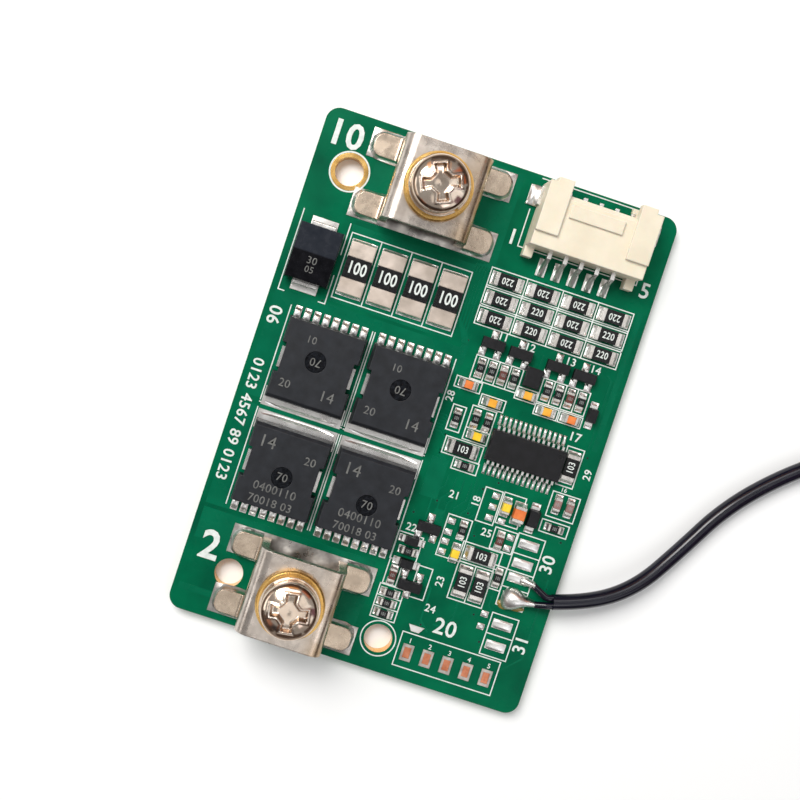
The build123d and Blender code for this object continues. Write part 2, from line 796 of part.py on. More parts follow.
def small_diode_parts():
    with BuildPart() as bodies:
        for x, y, turn, length, width in small_diodes:
            with BuildSketch(Plane.XY.offset(pad_top)):
                with Locations(*seats([(x, y, turn)])):
                    Rectangle(length, width)
            extrude(amount=small_diode_height, taper=small_diode_draft)
    save(bodies.part, "small_diode_bodies")
    with BuildPart() as tabs:
        with BuildSketch(Plane.XY.offset(pad_top)):
            for x, y, turn, length, width in small_diodes:
                offset = (length + small_diode_tab_reach) / 2
                ends = along([(x, y, turn)], offset) + along([(x, y, turn)], -offset)
                with Locations(*seats(ends)):
                    Rectangle(small_diode_tab_reach, width * small_diode_tab_width_share)
        extrude(amount=small_diode_tab_sheet)
    save(tabs.part, "small_diode_tabs")


def balance_places():
    x, y = balance_middle
    step_x, step_y = balance_pitch
    places = []
    for row in range(balance_rows):
        for column in range(balance_columns):
            places.append((x + step_x * (column - (balance_columns - 1) / 2),
                           y + step_y * ((balance_rows - 1) / 2 - row), 0))
    return places


def component_pads():
    """Pads under the chips, the small transistors, the controller, the header and the small diodes."""
    chips = [
        (balance_places() + large_resistor_places, large_chip, large_chip_end),
        (small_resistor_places, small_chip, small_chip_end),
        (small_capacitor_places, small_capacitor, small_capacitor_end),
        ([large_capacitor_place], large_capacitor, large_capacitor_end),
    ]
    with BuildPart() as pads:
        with BuildSketch(Plane.XY.offset(board_top)):
            for places, size, end in chips:
                pad_places, pad_length, pad_width = chip_pads(places, size, end)
                with Locations(*seats(pad_places)):
                    Rectangle(pad_length, pad_width)
            for x, y, turn, length, width in small_diodes:
                offset = length / 2 + small_diode_tab_reach / 2 + small_diode_pad_overlap
                ends = along([(x, y, turn)], offset) + along([(x, y, turn)], -offset)
                with Locations(*seats(ends)):
                    Rectangle(small_diode_pad_length, width * small_diode_tab_width_share + pad_margin)
            lead_y = small_transistor_width / 2 + small_lead_reach
            for place in small_transistor_places:
                half_spread = small_transistor_spread / 2
                lead_places = along([place], 0, lead_y) + along([place], -half_spread, -lead_y) \
                    + along([place], half_spread, -lead_y)
                with Locations(*seats(lead_places)):
                    Rectangle(*small_pad_size)
            x, y = controller_place
            pad_inner = controller_width / 2 + controller_lead_reach - controller_foot - pad_margin
            pad_outer = controller_width / 2 + controller_pad_reach
            pad_y = (pad_inner + pad_outer) / 2
            first = x - controller_lead_pitch * (controller_leads_per_side - 1) / 2
            controller_pads = []
            for index in range(controller_leads_per_side):
                lead_x = first + controller_lead_pitch * index
                controller_pads += [(lead_x, y - pad_y), (lead_x, y + pad_y)]
            with Locations(*controller_pads):
                Rectangle(controller_pad_width, pad_outer - pad_inner)
            rear = header_place[1] - header_depth
            pin_pad_y = rear - pin_reach - pin_pad_overlap + pin_pad_size[1] / 2
            with Locations(*[(pin_x, pin_pad_y) for pin_x in header_pin_x()]):
                Rectangle(*pin_pad_size)
            anchor_y = header_place[1] - anchor_setback - header_corner_notch[1] - anchor_length / 2
            anchor_pad_width = anchor_reach + pad_margin
            anchor_x = (header_width + anchor_pad_width) / 2
            with Locations((header_place[0] - anchor_x, anchor_y), (header_place[0] + anchor_x, anchor_y)):
                Rectangle(anchor_pad_width, anchor_length + 2 * pad_margin)
            chip_x, chip_y = square_chip_place
            with Locations((chip_x, chip_y)):
                Rectangle(square_chip_size[0] - 2 * square_chip_pad_inset,
                          square_chip_size[1] - 2 * square_chip_pad_inset)
        extrude(amount=pad_thickness)
    save(pads.part, "component_pads")


def bare_pads():
    sensor_places = [(sensor_pad_x, row) for row in sensor_pad_rows]
    save(plates(sensor_places, *sensor_pad_size, board_top, pad_thickness).part, "sensor_pads")

    first = test_pad_middle[0] - test_pad_pitch * (test_pad_count - 1) / 2
    test_places = [(first + test_pad_pitch * index, test_pad_middle[1]) for index in range(test_pad_count)]
    with BuildPart() as borders:
        with BuildSketch(Plane.XY.offset(board_top)):
            with Locations(*test_places):
                Rectangle(*test_pad_size)
                Rectangle(*test_pad_centre_size, mode=Mode.SUBTRACT)
        extrude(amount=pad_thickness)
    save(borders.part, "test_pads")
    save(plates(test_places, *test_pad_centre_size, board_top, pad_thickness / 2).part, "test_pad_centres")

    with BuildPart() as spares:
        with BuildSketch(Plane.XY.offset(board_top)):
            with Locations(*spare_pad_places):
                Rectangle(*spare_pad_size)
            x, y = solder_bar_place
            wide, narrow = solder_bar_widths
            upper = y + solder_bar_depth / 2
            lower = y - solder_bar_depth / 2
            Polygon((x - wide / 2, upper), (x + wide / 2, upper),
                    (x + narrow / 2, lower), (x - narrow / 2, lower), align=None)
        extrude(amount=pad_thickness)
    save(spares.part, "spare_pads")


def unit(start, end):
    return (Vector(*end) - Vector(*start)).normalized()


def sensor_lead():
    """Solder joints, two insulated cores, the sleeve that gathers them and the sealed sensor tip."""
    start = Vector(*sleeve_points[0])
    heading = unit(sleeve_points[0], sleeve_points[1])
    side = Vector(0, 0, 1).cross(heading).normalized()
    core_routes = []
    for tip, offset in ((Vector(*joint_tip), -core_spread), (Vector(*small_joint_tip), core_spread)):
        end = start + side * offset
        core_routes.append((tip, end - heading * core_straight, end))

    with BuildPart() as joints:
        for form, (tip, knee, end) in zip((joint_form, small_joint_form), core_routes):
            middle, size, height, draft, neck_radius = form
            with BuildSketch(Plane.XY.offset(pad_top)):
                with Locations(middle):
                    RectangleRounded(*size, min(size) * joint_corner_share)
            extrude(amount=height, taper=draft)
            neck_start = Vector(*middle, pad_top + neck_radius)
            with BuildSketch(Plane(origin=neck_start, z_dir=tip - neck_start)):
                Circle(neck_radius)
            with BuildSketch(Plane(origin=tip, z_dir=knee - tip)):
                Circle(core_radius + core_solder_wall)
            loft()
    save(joints.part, "sensor_joints")

    with BuildPart() as cores:
        for tip, knee, end in core_routes:
            with BuildLine() as route:
                FilletPolyline(tip, knee, end, radius=core_bend_radius)
            with BuildSketch(Plane(origin=tip, z_dir=knee - tip)):
                Circle(core_radius)
            sweep(path=route.wire())
    save(cores.part, "sensor_cores")

    points = [Vector(*point) for point in sleeve_points]
    radii = []
    for before, corner, after in zip(points, points[1:], points[2:]):
        turn = (corner - before).get_angle(after - corner)
        shorter = min((corner - before).length, (after - corner).length)
        radii.append(sleeve_corner_share * shorter / tan(radians(turn) / 2))
    print("sleeve radii", [round(radius, 1) for radius in radii])
    with BuildPart() as sleeve:
        with BuildLine() as route:
            FilletPolyline(*sleeve_points, radius=radii)
        with BuildSketch(Plane(origin=start, z_dir=heading)):
            Circle(sleeve_radius)
        sweep(path=route.wire())
    length = route.wire().length
    section = pi * sleeve_radius ** 2
    print("sleeve length", round(length, 2), "volume / (section x length)",
          round(sleeve.part.volume / (section * length), 5))
    save(sleeve.part, "sensor_sleeve")

    end = points[-1]
    last = unit(sleeve_points[-2], sleeve_points[-1])
    with BuildPart() as bead:
        with BuildSketch(Plane(origin=end, z_dir=last)):
            Circle(sensor_tip_radius)
        extrude(amount=sensor_tip_length)
        rim = bead.edges().filter_by(GeomType.CIRCLE).sort_by(lambda e: (e.center() - end).length)[-1]
        chamfer(rim, sensor_tip_chamfer)
    save(bead.part, "sensor_tip")


circuit_board()
terminal_pads()
terminals = (("negative", negative_terminal_place), ("positive", positive_terminal_place))
for terminal_name, terminal_place in terminals:
    bridge(terminal_place, terminal_name)
    terminal_fasteners(terminal_place, terminal_name)
for transistor_index in range(len(transistor_places)):
    power_transistor(transistor_index + 1)
power_diode()
shunt_resistors()
power_pads()
header_housing()
header_pins()
header_anchors()
controller_chip()
small_transistors()
square_chip()
chip_group("balance_resistor", balance_places(), large_chip, large_chip_end)
chip_group("large_resistor", large_resistor_places, large_chip, large_chip_end)
chip_group("small_resistor", small_resistor_places, small_chip, small_chip_end)
chip_group("small_capacitor", small_capacitor_places, small_capacitor, small_capacitor_end)
chip_group("large_capacitor", [large_capacitor_place], large_capacitor, large_capacitor_end)
small_diode_parts()
component_pads()
bare_pads()
sensor_lead()
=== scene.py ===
# %% [markdown]
# # A battery management board, dressed for a studio photograph
# A battery management board watches the cells of a pack, evens them out and cuts the current when
# something is wrong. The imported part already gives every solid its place, and could be shown with one
# grey material. This lesson adds what a plain CAD model leaves out: the printed legend, the copper
# under the green mask, the solder, and one finish for every piece. Blender works in metres, while the
# tables here are in millimetres, since boards are drawn that way.

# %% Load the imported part
import bpy
import math
import random
from mathutils import Matrix, Vector


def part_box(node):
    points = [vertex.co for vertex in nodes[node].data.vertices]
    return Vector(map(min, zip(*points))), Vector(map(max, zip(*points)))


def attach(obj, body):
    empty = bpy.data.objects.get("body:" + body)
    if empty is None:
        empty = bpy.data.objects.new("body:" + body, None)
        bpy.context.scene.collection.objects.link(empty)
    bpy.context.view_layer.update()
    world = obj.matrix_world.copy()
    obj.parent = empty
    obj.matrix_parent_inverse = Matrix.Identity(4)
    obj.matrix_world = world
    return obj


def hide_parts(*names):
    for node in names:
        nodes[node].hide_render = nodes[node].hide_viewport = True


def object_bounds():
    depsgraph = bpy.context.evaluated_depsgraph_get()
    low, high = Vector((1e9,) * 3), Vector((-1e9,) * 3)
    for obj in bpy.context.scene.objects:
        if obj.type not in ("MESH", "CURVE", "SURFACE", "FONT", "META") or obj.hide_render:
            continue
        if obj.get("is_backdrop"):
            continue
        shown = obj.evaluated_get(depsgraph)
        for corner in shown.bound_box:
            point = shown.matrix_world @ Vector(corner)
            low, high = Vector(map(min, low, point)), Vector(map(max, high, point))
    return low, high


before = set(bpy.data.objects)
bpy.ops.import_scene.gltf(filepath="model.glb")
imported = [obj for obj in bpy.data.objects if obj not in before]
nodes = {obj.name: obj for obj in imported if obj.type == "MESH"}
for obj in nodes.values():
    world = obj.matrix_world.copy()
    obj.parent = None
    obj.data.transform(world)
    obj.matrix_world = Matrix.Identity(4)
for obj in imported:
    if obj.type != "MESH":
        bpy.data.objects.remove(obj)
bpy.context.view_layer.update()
random.seed(7)
MM = 0.001
BOARD_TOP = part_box("circuit_board")[1].z / MM
PAD_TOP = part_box("component_pads")[1].z / MM
BOARD_RIGHT = round(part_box("circuit_board")[1].x / MM, 3)
BOARD_UPPER = round(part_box("circuit_board")[1].y / MM, 3)
print("frame loaded:", len(nodes), "nodes, board top at", round(BOARD_TOP, 3), "mm")

# %% [markdown]
# ## A builder for thin meshes
# Much of what a board shows is thin: printed ink, copper and solder, repeated hundreds of times. Each
# piece could be drawn in Edit Mode or cut with modifiers. A `Shape` gathers vertices and faces in
# millimetres instead and turns into one object, so that a whole layer is one light mesh that rides on the
# part. Strokes that cross take turns at slightly different heights, because two faces in one plane render
# as black speckle.

# %% Shape
STROKE_LIFTS = 7
STROKE_LIFT = 0.0011
STROKE_CAP = 0.98


class Shape:
    def __init__(self):
        self.verts = []
        self.faces = []
        self.layer = 0

    def add(self, verts, faces):
        start = len(self.verts)
        self.verts += [tuple(v) for v in verts]
        self.faces += [[start + i for i in face] for face in faces]

    def prism(self, outline, bottom, top):
        """A flat plate: the outline runs anticlockwise, seen from above."""
        count = len(outline)
        verts = [(x, y, bottom) for x, y in outline] + [(x, y, top) for x, y in outline]
        faces = [list(range(count - 1, -1, -1)), list(range(count, 2 * count))]
        for i in range(count):
            j = (i + 1) % count
            faces.append([i, j, count + j, count + i])
        self.add(verts, faces)

    def bar(self, x0, y0, x1, y1, bottom, top):
        self.prism([(x0, y0), (x1, y0), (x1, y1), (x0, y1)], bottom, top)

    def stroke(self, points, width, bottom, top):
        """A line of some width through the points, with a square joint at each corner."""
        for (xa, ya), (xb, yb) in zip(points, points[1:]):
            self.layer = (self.layer + 1) % STROKE_LIFTS
            lift = STROKE_LIFT * self.layer
            length = math.hypot(xb - xa, yb - ya)
            ux, uy = (xb - xa) / length, (yb - ya) / length
            half = width / 2
            cap = half * STROKE_CAP
            corners = []
            for along, across in ((-1, -1), (1, -1), (1, 1), (-1, 1)):
                bx, by = (xa, ya) if along < 0 else (xb, yb)
                corners.append((bx + along * cap * ux - across * half * uy,
                                by + along * cap * uy + across * half * ux))
            self.prism(corners, bottom, top + lift)

    def ring(self, x, y, inner, outer, bottom, top, steps=48):
        verts = []
        for radius, z in ((inner, bottom), (outer, bottom), (outer, top), (inner, top)):
            for i in range(steps):
                angle = 2 * math.pi * i / steps
                verts.append((x + radius * math.cos(angle), y + radius * math.sin(angle), z))
        faces = []
        for i in range(steps):
            j = (i + 1) % steps
            for a, b in ((0, 1), (1, 2), (2, 3), (3, 0)):
                faces.append([a * steps + i, a * steps + j, b * steps + j, b * steps + i])
        self.add(verts, faces)

    def skin(self, rows, closed=False):
        """A surface through rows of points, each row as long as the next."""
        width = len(rows[0])
        faces = []
        for i in range(len(rows) - 1):
            for j in range(width if closed else width - 1):
                k = (j + 1) % width
                faces.append([i * width + j, i * width + k, (i + 1) * width + k, (i + 1) * width + j])
        self.add([point for row in rows for point in row], faces)

    def pillow(self, x0, y0, x1, y1, base, height, power=4.0, steps=6, wave=0.0):
        """A low cushion of solder over a rectangle."""
        rows = []
        for i in range(steps + 1):
            v = 2 * i / steps - 1
            row = []
            for j in range(steps + 1):
                u = 2 * j / steps - 1
                pull = 1 - 0.10 * (abs(u * v)) ** 5
                swell = (1 - abs(u) ** power) * (1 - abs(v) ** power)
                rise = height * swell * (1 + wave * random.uniform(-1, 1))
                row.append(((x0 + x1) / 2 + u * pull * (x1 - x0) / 2,
                            (y0 + y1) / 2 + v * pull * (y1 - y0) / 2, base + rise))
            rows.append(row)
        self.skin(rows)

    def piece(self, name, slot, smooth=False):
        mesh = bpy.data.meshes.new(name)
        mesh.from_pydata([(x * MM, y * MM, z * MM) for x, y, z in self.verts], [], self.faces)
        mesh.update()
        for polygon in mesh.polygons:
            polygon.use_smooth = smooth
        thing = bpy.data.objects.new(name, mesh)
        bpy.context.collection.objects.link(thing)
        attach(thing, "root")
        print("made", name, "with", len(self.faces), "faces")
        return thing


print("strokes lie on", STROKE_LIFTS, "levels,", STROKE_LIFT, "mm apart")

# %% [markdown]
# ## Finding the separate solids
# One CAD node, such as the component pads, holds many solids in one mesh. Separate by Loose Parts would
# split it, but the CAD nodes have to stay as they are. So corners that share a face are joined into
# groups, and each group keeps its box. Solder and numbers are then placed from the real parts, and follow
# them if they move. `at` reads the tables of the legend, which are measured from the board's upper-left
# corner as on a drawing.

# %% Solids and places
def solids(node):
    """The boxes (low, high, in millimetres) of the separate solids in a CAD node."""
    mesh = nodes[node].data
    parent = {}

    def find(key):
        while parent[key] != key:
            parent[key] = parent[parent[key]]
            key = parent[key]
        return key

    keys = [tuple(round(c / MM, 3) for c in v.co) for v in mesh.vertices]
    for key in keys:
        parent.setdefault(key, key)
    for polygon in mesh.polygons:
        first = find(keys[polygon.vertices[0]])
        for index in polygon.vertices[1:]:
            parent[find(keys[index])] = first
            first = find(first)
    groups = {}
    for key in parent:
        low, high = groups.setdefault(find(key), (list(key), list(key)))
        for axis in range(3):
            low[axis] = min(low[axis], key[axis])
            high[axis] = max(high[axis], key[axis])
    return sorted((tuple(low), tuple(high)) for low, high in groups.values())


def at(x, y):
    """A place read from the board's upper-left corner, as the legend tables give it."""
    return x - BOARD_RIGHT, BOARD_UPPER - y


def from_board(x, y):
    """The same step the other way: from the part's frame to the legend's."""
    return x + BOARD_RIGHT, BOARD_UPPER - y


def legend_place(low, high):
    """The middle of a box, in the legend's frame."""
    return from_board((low[0] + high[0]) / 2, (low[1] + high[1]) / 2)


def top_of(node):
    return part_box(node)[1].z / MM


print("component pads:", len(solids("component_pads")))

# %% [markdown]
# ## An uneven tone
# No real surface has one colour or one gloss: plating, moulding and ink all vary a little. A painted
# texture could show that, but noise needs no picture and has no seams. It is built once as a node group
# with named inputs, so that each material sets only its own size and range. The coordinates are the
# object's own, so the pattern stays with the part.

# %% Mottle group
def group(name, inputs, outputs):
    tree = bpy.data.node_groups.new(name, "ShaderNodeTree")
    for label, kind, value in inputs:
        socket = tree.interface.new_socket(label, in_out="INPUT", socket_type=kind)
        if value is not None:
            socket.default_value = value
    for label, kind in outputs:
        tree.interface.new_socket(label, in_out="OUTPUT", socket_type=kind)
    return tree, tree.nodes.new("NodeGroupInput"), tree.nodes.new("NodeGroupOutput")


def mottle_group():
    """A noise value between Low and High, with features of the given Size in metres."""
    inputs = [("Size", "NodeSocketFloat", 0.001), ("Low", "NodeSocketFloat", 0.0),
              ("High", "NodeSocketFloat", 1.0)]
    tree, given, result = group("mottle", inputs, [("Value", "NodeSocketFloat")])
    place = tree.nodes.new("ShaderNodeTexCoord")
    inverse = tree.nodes.new("ShaderNodeMath")
    inverse.operation = "DIVIDE"
    inverse.inputs[0].default_value = 1.0
    noise = tree.nodes.new("ShaderNodeTexNoise")
    noise.inputs["Detail"].default_value = 4.0
    spread = tree.nodes.new("ShaderNodeMapRange")
    spread.inputs["From Min"].default_value = 0.3
    spread.inputs["From Max"].default_value = 0.7
    tree.links.new(given.outputs["Size"], inverse.inputs[1])
    tree.links.new(place.outputs["Object"], noise.inputs["Vector"])
    tree.links.new(inverse.outputs[0], noise.inputs["Scale"])
    tree.links.new(noise.outputs["Fac"], spread.inputs["Value"])
    tree.links.new(given.outputs["Low"], spread.inputs["To Min"])
    tree.links.new(given.outputs["High"], spread.inputs["To Max"])
    tree.links.new(spread.outputs["Result"], result.inputs["Value"])
    return tree


print("group:", mottle_group().name)

# %% [markdown]
# ## Fine bumps and soft edges
# Moulded and plated surfaces are never quite flat, and no edge is perfectly sharp. Both could be
# modelled, at the cost of many thousands of faces. A Bevel node rounds the edges in the shading alone,
# and a Bump node lays the noise on top, so the mesh stays light.

# %% Relief group
def relief_group():
    """A bumpy normal on top of edges that are rounded by Radius."""
    tree, given, result = group("relief", [
        ("Size", "NodeSocketFloat", 0.0005), ("Depth", "NodeSocketFloat", 0.00001),
        ("Strength", "NodeSocketFloat", 0.5), ("Radius", "NodeSocketFloat", 0.00005)],
        [("Normal", "NodeSocketVector")])
    height = tree.nodes.new("ShaderNodeGroup")
    height.node_tree = bpy.data.node_groups["mottle"]
    rounded = tree.nodes.new("ShaderNodeBevel")
    rounded.samples = 4
    bump = tree.nodes.new("ShaderNodeBump")
    tree.links.new(given.outputs["Size"], height.inputs["Size"])
    tree.links.new(given.outputs["Radius"], rounded.inputs["Radius"])
    tree.links.new(given.outputs["Depth"], bump.inputs["Distance"])
    tree.links.new(given.outputs["Strength"], bump.inputs["Strength"])
    tree.links.new(height.outputs["Value"], bump.inputs["Height"])
    tree.links.new(rounded.outputs["Normal"], bump.inputs["Normal"])
    tree.links.new(bump.outputs["Normal"], result.inputs["Normal"])
    return tree


print("group:", relief_group().name)

# %% [markdown]
# ## A mask for rubbed and lit edges
# Edges get rubbed and catch the light, so here they are painted paler: partly from rubbing, partly a
# painted highlight. Pointiness would find them only on a dense mesh. Comparing the rounded normal with
# the true one works on flat CAD faces too: the more the two differ, the nearer is an edge.

# %% Edge group
def edge_group():
    """A mask that is 1 on sharp outer edges and 0 on flat faces."""
    tree, given, result = group("edges", [("Radius", "NodeSocketFloat", 0.0001)],
                                [("Mask", "NodeSocketFloat")])
    rounded = tree.nodes.new("ShaderNodeBevel")
    rounded.samples = 4
    flat = tree.nodes.new("ShaderNodeNewGeometry")
    dot = tree.nodes.new("ShaderNodeVectorMath")
    dot.operation = "DOT_PRODUCT"
    spread = tree.nodes.new("ShaderNodeMapRange")
    spread.inputs["From Min"].default_value = 0.995
    spread.inputs["From Max"].default_value = 0.85
    tree.links.new(given.outputs["Radius"], rounded.inputs["Radius"])
    tree.links.new(rounded.outputs["Normal"], dot.inputs[0])
    tree.links.new(flat.outputs["True Normal"], dot.inputs[1])
    tree.links.new(dot.outputs["Value"], spread.inputs["Value"])
    tree.links.new(spread.outputs["Result"], result.inputs["Mask"])
    return tree


print("group:", edge_group().name)

# %% [markdown]
# ## One class for every finish
# Every material here is a Principled surface with a few effects plugged into it. They could be wired one
# by one in the Shader Editor. A small class says the same in a line or two, and keeps the surface shader
# in the material itself, where the export can read it.

# %% Finish
class Finish:
    """One material: a Principled surface, with helpers that plug effects into it."""

    def __init__(self, name, colour, metallic=0.0, roughness=0.5):
        self.material = bpy.data.materials.new(name)
        self.material.use_nodes = True
        self.tree = self.material.node_tree
        self.surface = self.tree.nodes["Principled BSDF"]
        self.surface.inputs["Base Color"].default_value = (*colour, 1)
        self.surface.inputs["Metallic"].default_value = metallic
        self.surface.inputs["Roughness"].default_value = roughness

    def set(self, **values):
        for label, value in values.items():
            self.surface.inputs[label.replace("_", " ")].default_value = value
        return self

    def node(self, kind, **settings):
        node = self.tree.nodes.new(kind)
        for label, value in settings.items():
            setattr(node, label, value)
        return node

    def link(self, source, target):
        self.tree.links.new(source, target)

    def effect(self, name, **values):
        node = self.node("ShaderNodeGroup")
        node.node_tree = bpy.data.node_groups[name]
        for label, value in values.items():
            node.inputs[label].default_value = value
        return node

    def blend(self, mask, first, second):
        """Mixes two colours, or colour outputs, by a mask output."""
        mix = self.node("ShaderNodeMix", data_type="RGBA")
        self.link(mask, mix.inputs["Factor"])
        for socket, value in zip([each for each in mix.inputs if each.type == "RGBA"], (first, second)):
            if isinstance(value, tuple):
                socket.default_value = (*value, 1)
            else:
                self.link(value, socket)
        return [each for each in mix.outputs if each.type == "RGBA"][0]

    def colour(self, output):
        self.link(output, self.surface.inputs["Base Color"])
        return self

    def rough(self, size, low, high):
        value = self.effect("mottle", Size=size, Low=low, High=high)
        self.link(value.outputs["Value"], self.surface.inputs["Roughness"])
        return self

    def bumps(self, size, depth, strength=0.6, radius=0.00005):
        value = self.effect("relief", Size=size, Depth=depth, Strength=strength, Radius=radius)
        self.link(value.outputs["Normal"], self.surface.inputs["Normal"])
        return self

    # The paler edge colour is painted on: a painted highlight where edges catch the light, and rubbing.
    def wear_and_edge_highlight(self, base, edge, radius=0.0001):
        mask = self.effect("edges", Radius=radius)
        return self.blend(mask.outputs["Mask"], base, edge)


print("effects that a finish can use:", [tree.name for tree in bpy.data.node_groups])

# %% [markdown]
# ## Two kinds of finish
# Most finishes need the same three things: two tones, a gloss that varies and fine bumps. `toned` makes
# them, and `worn_with_edge_highlight` adds edges painted paler for mouldings and metal that get handled:
# a painted highlight, with rubbing. The values are set by laying the render beside the photograph and
# reading both at the same spots.

# %% Toned and worn finishes
finishes = {}


def finish(name, *args, **kwargs):
    finishes[name] = Finish(name, *args, **kwargs)
    return finishes[name]


def two_tone(item, size, first, second):
    mask = item.effect("mottle", Size=size)
    return item.blend(mask.outputs["Value"], first, second)


def toned(name, dark, light, metallic, low, high, size=0.0009, depth=0.00002, strength=0.4, radius=0.00006,
          specular=0.5):
    """The usual finish: two tones, a roughness that varies, fine bumps on rounded edges."""
    item = finish(name, light, metallic, high)
    item.colour(two_tone(item, size, dark, light))
    item.rough(size * 0.8, low, high).bumps(size * 0.7, depth, strength, radius)
    item.set(Specular_IOR_Level=specular)
    return item


def worn_with_edge_highlight(name, dark, light, edge, metallic, low, high, size, depth, radius, specular=0.5):
    """As above, with edges painted paler: a painted highlight and rubbing."""
    item = finish(name, light, metallic, high)
    item.colour(item.wear_and_edge_highlight(two_tone(item, size, dark, light), edge, radius * 0.7))
    item.rough(size * 0.8, low, high).bumps(size * 0.6, depth, 0.5, radius)
    item.set(Specular_IOR_Level=specular)
    return item


print("finishes so far:", len(finishes))

# %% [markdown]
# ## Board, copper and solder
# The board is glass and resin under a green lacquer, which looks deeper over bare resin than over copper.
# So there are two greens, and a raw, fibrous tone for the cut edge. Gold, tin and solder are metals with
# a low roughness. Real solder is smooth with soft waves, so its noise is large and its bumps shallow:
# small, deep bumps would sparkle.

# %% Board, copper and solder finishes
toned("solder_mask", (0.0001, 0.080, 0.038), (0.0002, 0.142, 0.062), 0.0, 0.24, 0.36, 0.006, 0.00001,
      0.25, 0.0001, 0.05)
trace_green = toned("mask_over_copper", (0.0002, 0.106, 0.050), (0.0010, 0.142, 0.068), 0.0, 0.22, 0.34,
                    0.004, 0.00001, 0.25, 0.0, 0.07)
laminate = toned("laminate_edge", (0.05, 0.16, 0.05), (0.22, 0.32, 0.12), 0.0, 0.5, 0.7, 0.0005,
                 0.00003, 0.8, 0.0001)
gold = toned("gold_plate", (0.66, 0.36, 0.09), (0.86, 0.56, 0.20), 1.0, 0.18, 0.30, 0.0025, 0.000004,
             0.4, 0.00008)
toned("tinned_pad", (0.66, 0.63, 0.60), (0.88, 0.87, 0.85), 1.0, 0.24, 0.38, 0.0022, 0.00001, 0.3)
toned("dull_pad", (0.36, 0.33, 0.30), (0.60, 0.56, 0.51), 1.0, 0.28, 0.42, 0.0008, 0.00001, 0.3)
toned("bare_copper", (0.50, 0.16, 0.08), (0.72, 0.30, 0.17), 1.0, 0.3, 0.45, 0.0008, 0.00001, 0.3)
toned("bright_tin", (0.62, 0.60, 0.58), (0.86, 0.85, 0.83), 1.0, 0.22, 0.34, 0.0020, 0.000005, 0.3)
solder = toned("solder", (0.72, 0.71, 0.69), (0.93, 0.92, 0.90), 1.0, 0.26, 0.38, 0.0024, 0.000006, 0.3)
dull_solder = toned("dull_solder", (0.27, 0.25, 0.24), (0.66, 0.62, 0.57), 1.0, 0.22, 0.44, 0.0018,
                    0.00004, 0.5)
print("finishes so far:", len(finishes))

# %% [markdown]
# ## Moulded bodies
# The header is moulded in ivory nylon, which lets a little light in, so it gets some subsurface
# scattering. The chips are black moulding compound, a matt resin with fine filler. Pure black would hide
# their shape, so it is a dark, slightly blue grey, with edges painted paler as a painted highlight.

# %% Moulded finishes
nylon = worn_with_edge_highlight("header_nylon", (0.74, 0.66, 0.51), (0.82, 0.74, 0.59), (0.93, 0.89, 0.79), 0.0, 0.4, 0.55,
             0.003, 0.00001, 0.00022, 0.4)
nylon.set(Subsurface_Weight=0.12, Subsurface_Scale=0.0008)
worn_with_edge_highlight("mould_compound", (0.009, 0.010, 0.013), (0.017, 0.019, 0.024), (0.05, 0.052, 0.056), 0.0, 0.40,
     0.56, 0.0014, 0.00001, 0.00014, 0.28)
grain = toned("dimple_grain", (0.0004, 0.0004, 0.001), (0.010, 0.012, 0.016), 0.0, 0.5, 0.7, 0.0004,
              0.00003, 1.0, 0.0, 0.08)
mould_black = worn_with_edge_highlight("black_mould", (0.004, 0.004, 0.005), (0.008, 0.008, 0.010), (0.03, 0.03, 0.032),
                   0.0, 0.36, 0.5, 0.0010, 0.00001, 0.0001, 0.28)
worn_with_edge_highlight("resistor_glaze", (0.004, 0.004, 0.005), (0.008, 0.008, 0.009), (0.06, 0.06, 0.06), 0.0, 0.22,
     0.34, 0.0008, 0.00001, 0.00008, 0.3)
element_pink = worn_with_edge_highlight("resistor_glaze_pink", (0.20, 0.10, 0.09), (0.34, 0.20, 0.18), (0.5, 0.4, 0.38),
                    0.0, 0.25, 0.4, 0.0008, 0.00001, 0.00008, 0.4)
element_red = worn_with_edge_highlight("resistor_glaze_red", (0.07, 0.018, 0.015), (0.14, 0.04, 0.03), (0.3, 0.2, 0.18),
                   0.0, 0.25, 0.4, 0.0008, 0.00001, 0.00008, 0.4)
print("finishes so far:", len(finishes))

# %% [markdown]
# ## Chip ends and ceramics
# Chip resistors and capacitors end in plated caps. The capacitors are bare ceramic, from lemon to orange.
# The shunts carry the whole current, and their ends are a warmer, duller plating, so they are only partly
# metallic.

# %% Chip and ceramic finishes
toned("chip_end_tin", (0.60, 0.56, 0.52), (0.84, 0.82, 0.79), 1.0, 0.2, 0.36, 0.0012, 0.00001, 0.4,
      0.0001)
toned("shunt_end_tin", (0.46, 0.39, 0.33), (0.66, 0.57, 0.50), 0.75, 0.34, 0.5, 0.0022, 0.00002, 0.4,
      0.00018)
toned("ceramic_yellow", (0.78, 0.30, 0.02), (0.92, 0.48, 0.05), 0.0, 0.25, 0.4, 0.0012, 0.00001, 0.4,
      0.00014)
ceramic_orange = toned("ceramic_orange", (0.70, 0.15, 0.03), (0.85, 0.26, 0.06), 0.0, 0.25, 0.4, 0.0012,
                       0.00001, 0.4, 0.00014)
ceramic_lemon = toned("ceramic_lemon", (0.85, 0.50, 0.01), (0.95, 0.66, 0.04), 0.0, 0.25, 0.4, 0.0012,
                      0.00001, 0.4, 0.00014)
print("finishes so far:", len(finishes))
